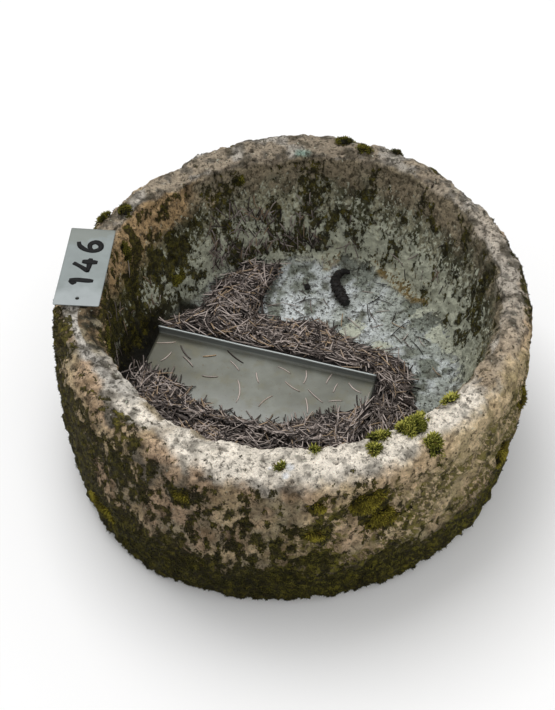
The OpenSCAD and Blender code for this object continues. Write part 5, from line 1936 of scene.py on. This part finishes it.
# %% Catkin
CATKIN_T, BUD_DIA, BUD_X, BUD_Y = 17, 9, 22, 171
CATKIN_PATH = [(77, 136), (70, 152), (63, 170), (63, 188), (72, 198), (83, 199)]
CATKIN_FAT = [0.85, 1, 0.95, 0.8, 0.6, 0.4]


def catkin_surface(t, turn, share):
    """Point on the catkin at t along it and turn round it, at a share of its thickness."""
    middle = along(CATKIN_PATH, t)
    ahead = along(CATKIN_PATH, np.minimum(1, t + 0.01)) - along(CATKIN_PATH, np.maximum(0, t - 0.01))
    side = unit(np.stack([-ahead[..., 1], ahead[..., 0]], axis=-1))
    fat = CATKIN_T / 2 * along(CATKIN_FAT, t)
    shift = 1 + fat / np.linalg.norm(middle, axis=-1)
    ground_z = hollow_top(middle[..., 0] * shift, middle[..., 1] * shift) + SEAT
    plan = middle + side * (share * fat * cosd(turn))[..., None]
    return at_height(plan, ground_z + fat + share * fat * sind(turn))


CATKIN_STEPS, CATKIN_SIDES, SCALE_COUNT = 46, 18, 420
t_grid, turn_grid = np.meshgrid(np.linspace(0, 1, CATKIN_STEPS),
                                np.arange(CATKIN_SIDES) * 360 / CATKIN_SIDES, indexing="ij")
ridges = 0.78 + 0.08 * np.sin(60 * t_grid + np.radians(2 * turn_grid))
tube_points, tube_faces = capped(catkin_surface(t_grid, turn_grid, ridges))

rng = np.random.default_rng(61)
scale_t, scale_turn = rng.random(SCALE_COUNT) ** 0.9, 360 * rng.random(SCALE_COUNT)
scale_foot = catkin_surface(scale_t, scale_turn, 0.7)
scale_out = catkin_surface(scale_t, scale_turn, 1.1) - scale_foot
scale_ahead = catkin_surface(np.minimum(1, scale_t + 0.03), scale_turn, 0.7) - scale_foot
scale_way = unit(scale_out) + 0.8 * unit(scale_ahead) + 0.25 * rng.normal(size=(SCALE_COUNT, 3))
scale_size = np.linalg.norm(scale_out, axis=1) * rng.uniform(0.95, 1.3, SCALE_COUNT)
scale_points, scale_faces = planted(SHOOT, scale_foot, scale_way, np.maximum(scale_size, 1.6),
                                    360 * rng.random(SCALE_COUNT))
scale_points[:, 2] = np.maximum(scale_points[:, 2], FLOOR_T + 0.2)
scale_shades = (SHOOT[2][None] * rng.uniform(0.4, 1.0, SCALE_COUNT)[:, None]).ravel()
points, faces, shades = joined([(tube_points, tube_faces, np.zeros(len(tube_points))),
                                (scale_points, scale_faces, scale_shades)])
catkin = new_mesh("catkin_scales", points, [faces], "basin")
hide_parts("catkin")
shade_points(catkin, shades)
print("catkin:", SCALE_COUNT, "scales")

# %% Bud
BUD_SIDES, BUD_RINGS = 14, 9
bud_middle = np.array([BUD_X, BUD_Y, FLOOR_T + SEAT + BUD_DIA / 2])
turns, tilts = np.meshgrid(np.arange(BUD_SIDES) * 360 / BUD_SIDES, np.linspace(-84, 84, BUD_RINGS))
bud_r = BUD_DIA / 2 * (1 + 0.08 * np.sin(np.radians(5 * turns + 3 * tilts))) * 0.9
ball = bud_middle + at_angle(turns, bud_r * cosd(tilts), bud_r * sind(tilts))
ball_points, ball_faces = capped(ball)
scale_foot = ball.reshape(-1, 3)[::2]
scale_way = unit(scale_foot - bud_middle) + np.array([0.7, 0.3, 0.2])
scale_points, scale_faces = planted(TUFT, scale_foot, scale_way, np.full(len(scale_foot), 1.6),
                                    np.arange(len(scale_foot)) * 47.0)
scale_points[:, 2] = np.maximum(scale_points[:, 2], FLOOR_T + 0.2)
points, faces, shades = joined([(ball_points, ball_faces, np.full(len(ball_points), 0.2)),
                                (scale_points, scale_faces, np.tile(TUFT[2], len(scale_foot)))])
bud = new_mesh("bud_scales", points, [faces], "basin")
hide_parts("bud")
shade_points(bud, shades)
print("bud:", len(scale_foot), "scales")

# %% Crumbs and twigs
CRUMB_COUNT = 700
TWIGS = [(20, 148, -160, 30, 34), (118, 150, 40, 20, 30), (150, 95, 48, -18, 36),
         (96, 205, 30, 30, 26), (175, 60, 120, 26, 30), (130, 178, 170, -22, 24)]

rng = np.random.default_rng(67)
crumb_a, crumb_r = rng.uniform(-50, 110, CRUMB_COUNT), 222 * rng.random(CRUMB_COUNT) ** 0.4
crumb_feet = at_angle(crumb_a, crumb_r, 0.0)
crumb_feet[:, 2] = hollow_top(*crumb_feet.T[:2])
crumb_way = rng.normal(size=(CRUMB_COUNT, 3)) + np.array([0, 0, 1.0])
crumb_points, crumb_faces = planted(TUFT, crumb_feet, crumb_way, rng.uniform(1.2, 3.2, CRUMB_COUNT),
                                    360 * rng.random(CRUMB_COUNT))
crumbs = new_mesh("bark_crumbs", crumb_points, [crumb_faces], "basin")
shade_points(crumbs, np.tile(TUFT[2], CRUMB_COUNT))

twig_x, twig_y, twig_turn, twig_bend, twig_length = np.array(TWIGS, float).T
twig_middles = np.stack([twig_x, twig_y, hollow_top(twig_x, twig_y) + 0.9], axis=1)
twig_points, twig_faces = needle_bars(twig_middles, at_angle(twig_turn, 1.0, 0.0),
                                      np.tile([0.0, 0, 1.0], (len(TWIGS), 1)),
                                      twig_length, twig_bend, np.full(len(TWIGS), 1.5))
twigs = new_mesh("thin_twigs", twig_points, [twig_faces], "basin")
shade_points(twigs, np.full(len(twig_points), 0.35))
print(CRUMB_COUNT, "crumbs and", len(TWIGS), "twigs")

# %% Dark plant matter
dark_finish, tree, shader, place = new_material("dark_plant_matter")
shade = attribute(tree, "shade")["Fac"]
colour = mixed(tree, between(tree, shade, 0.1, 1.0), rgba(10, 8, 7), rgba(50, 40, 35))
finish(tree, shader, mottled(tree, place, colour, 3.0, 0.4), 0.8)
dress(dark_finish, catkin, bud, crumbs, twigs)
print("fallen bits finished")
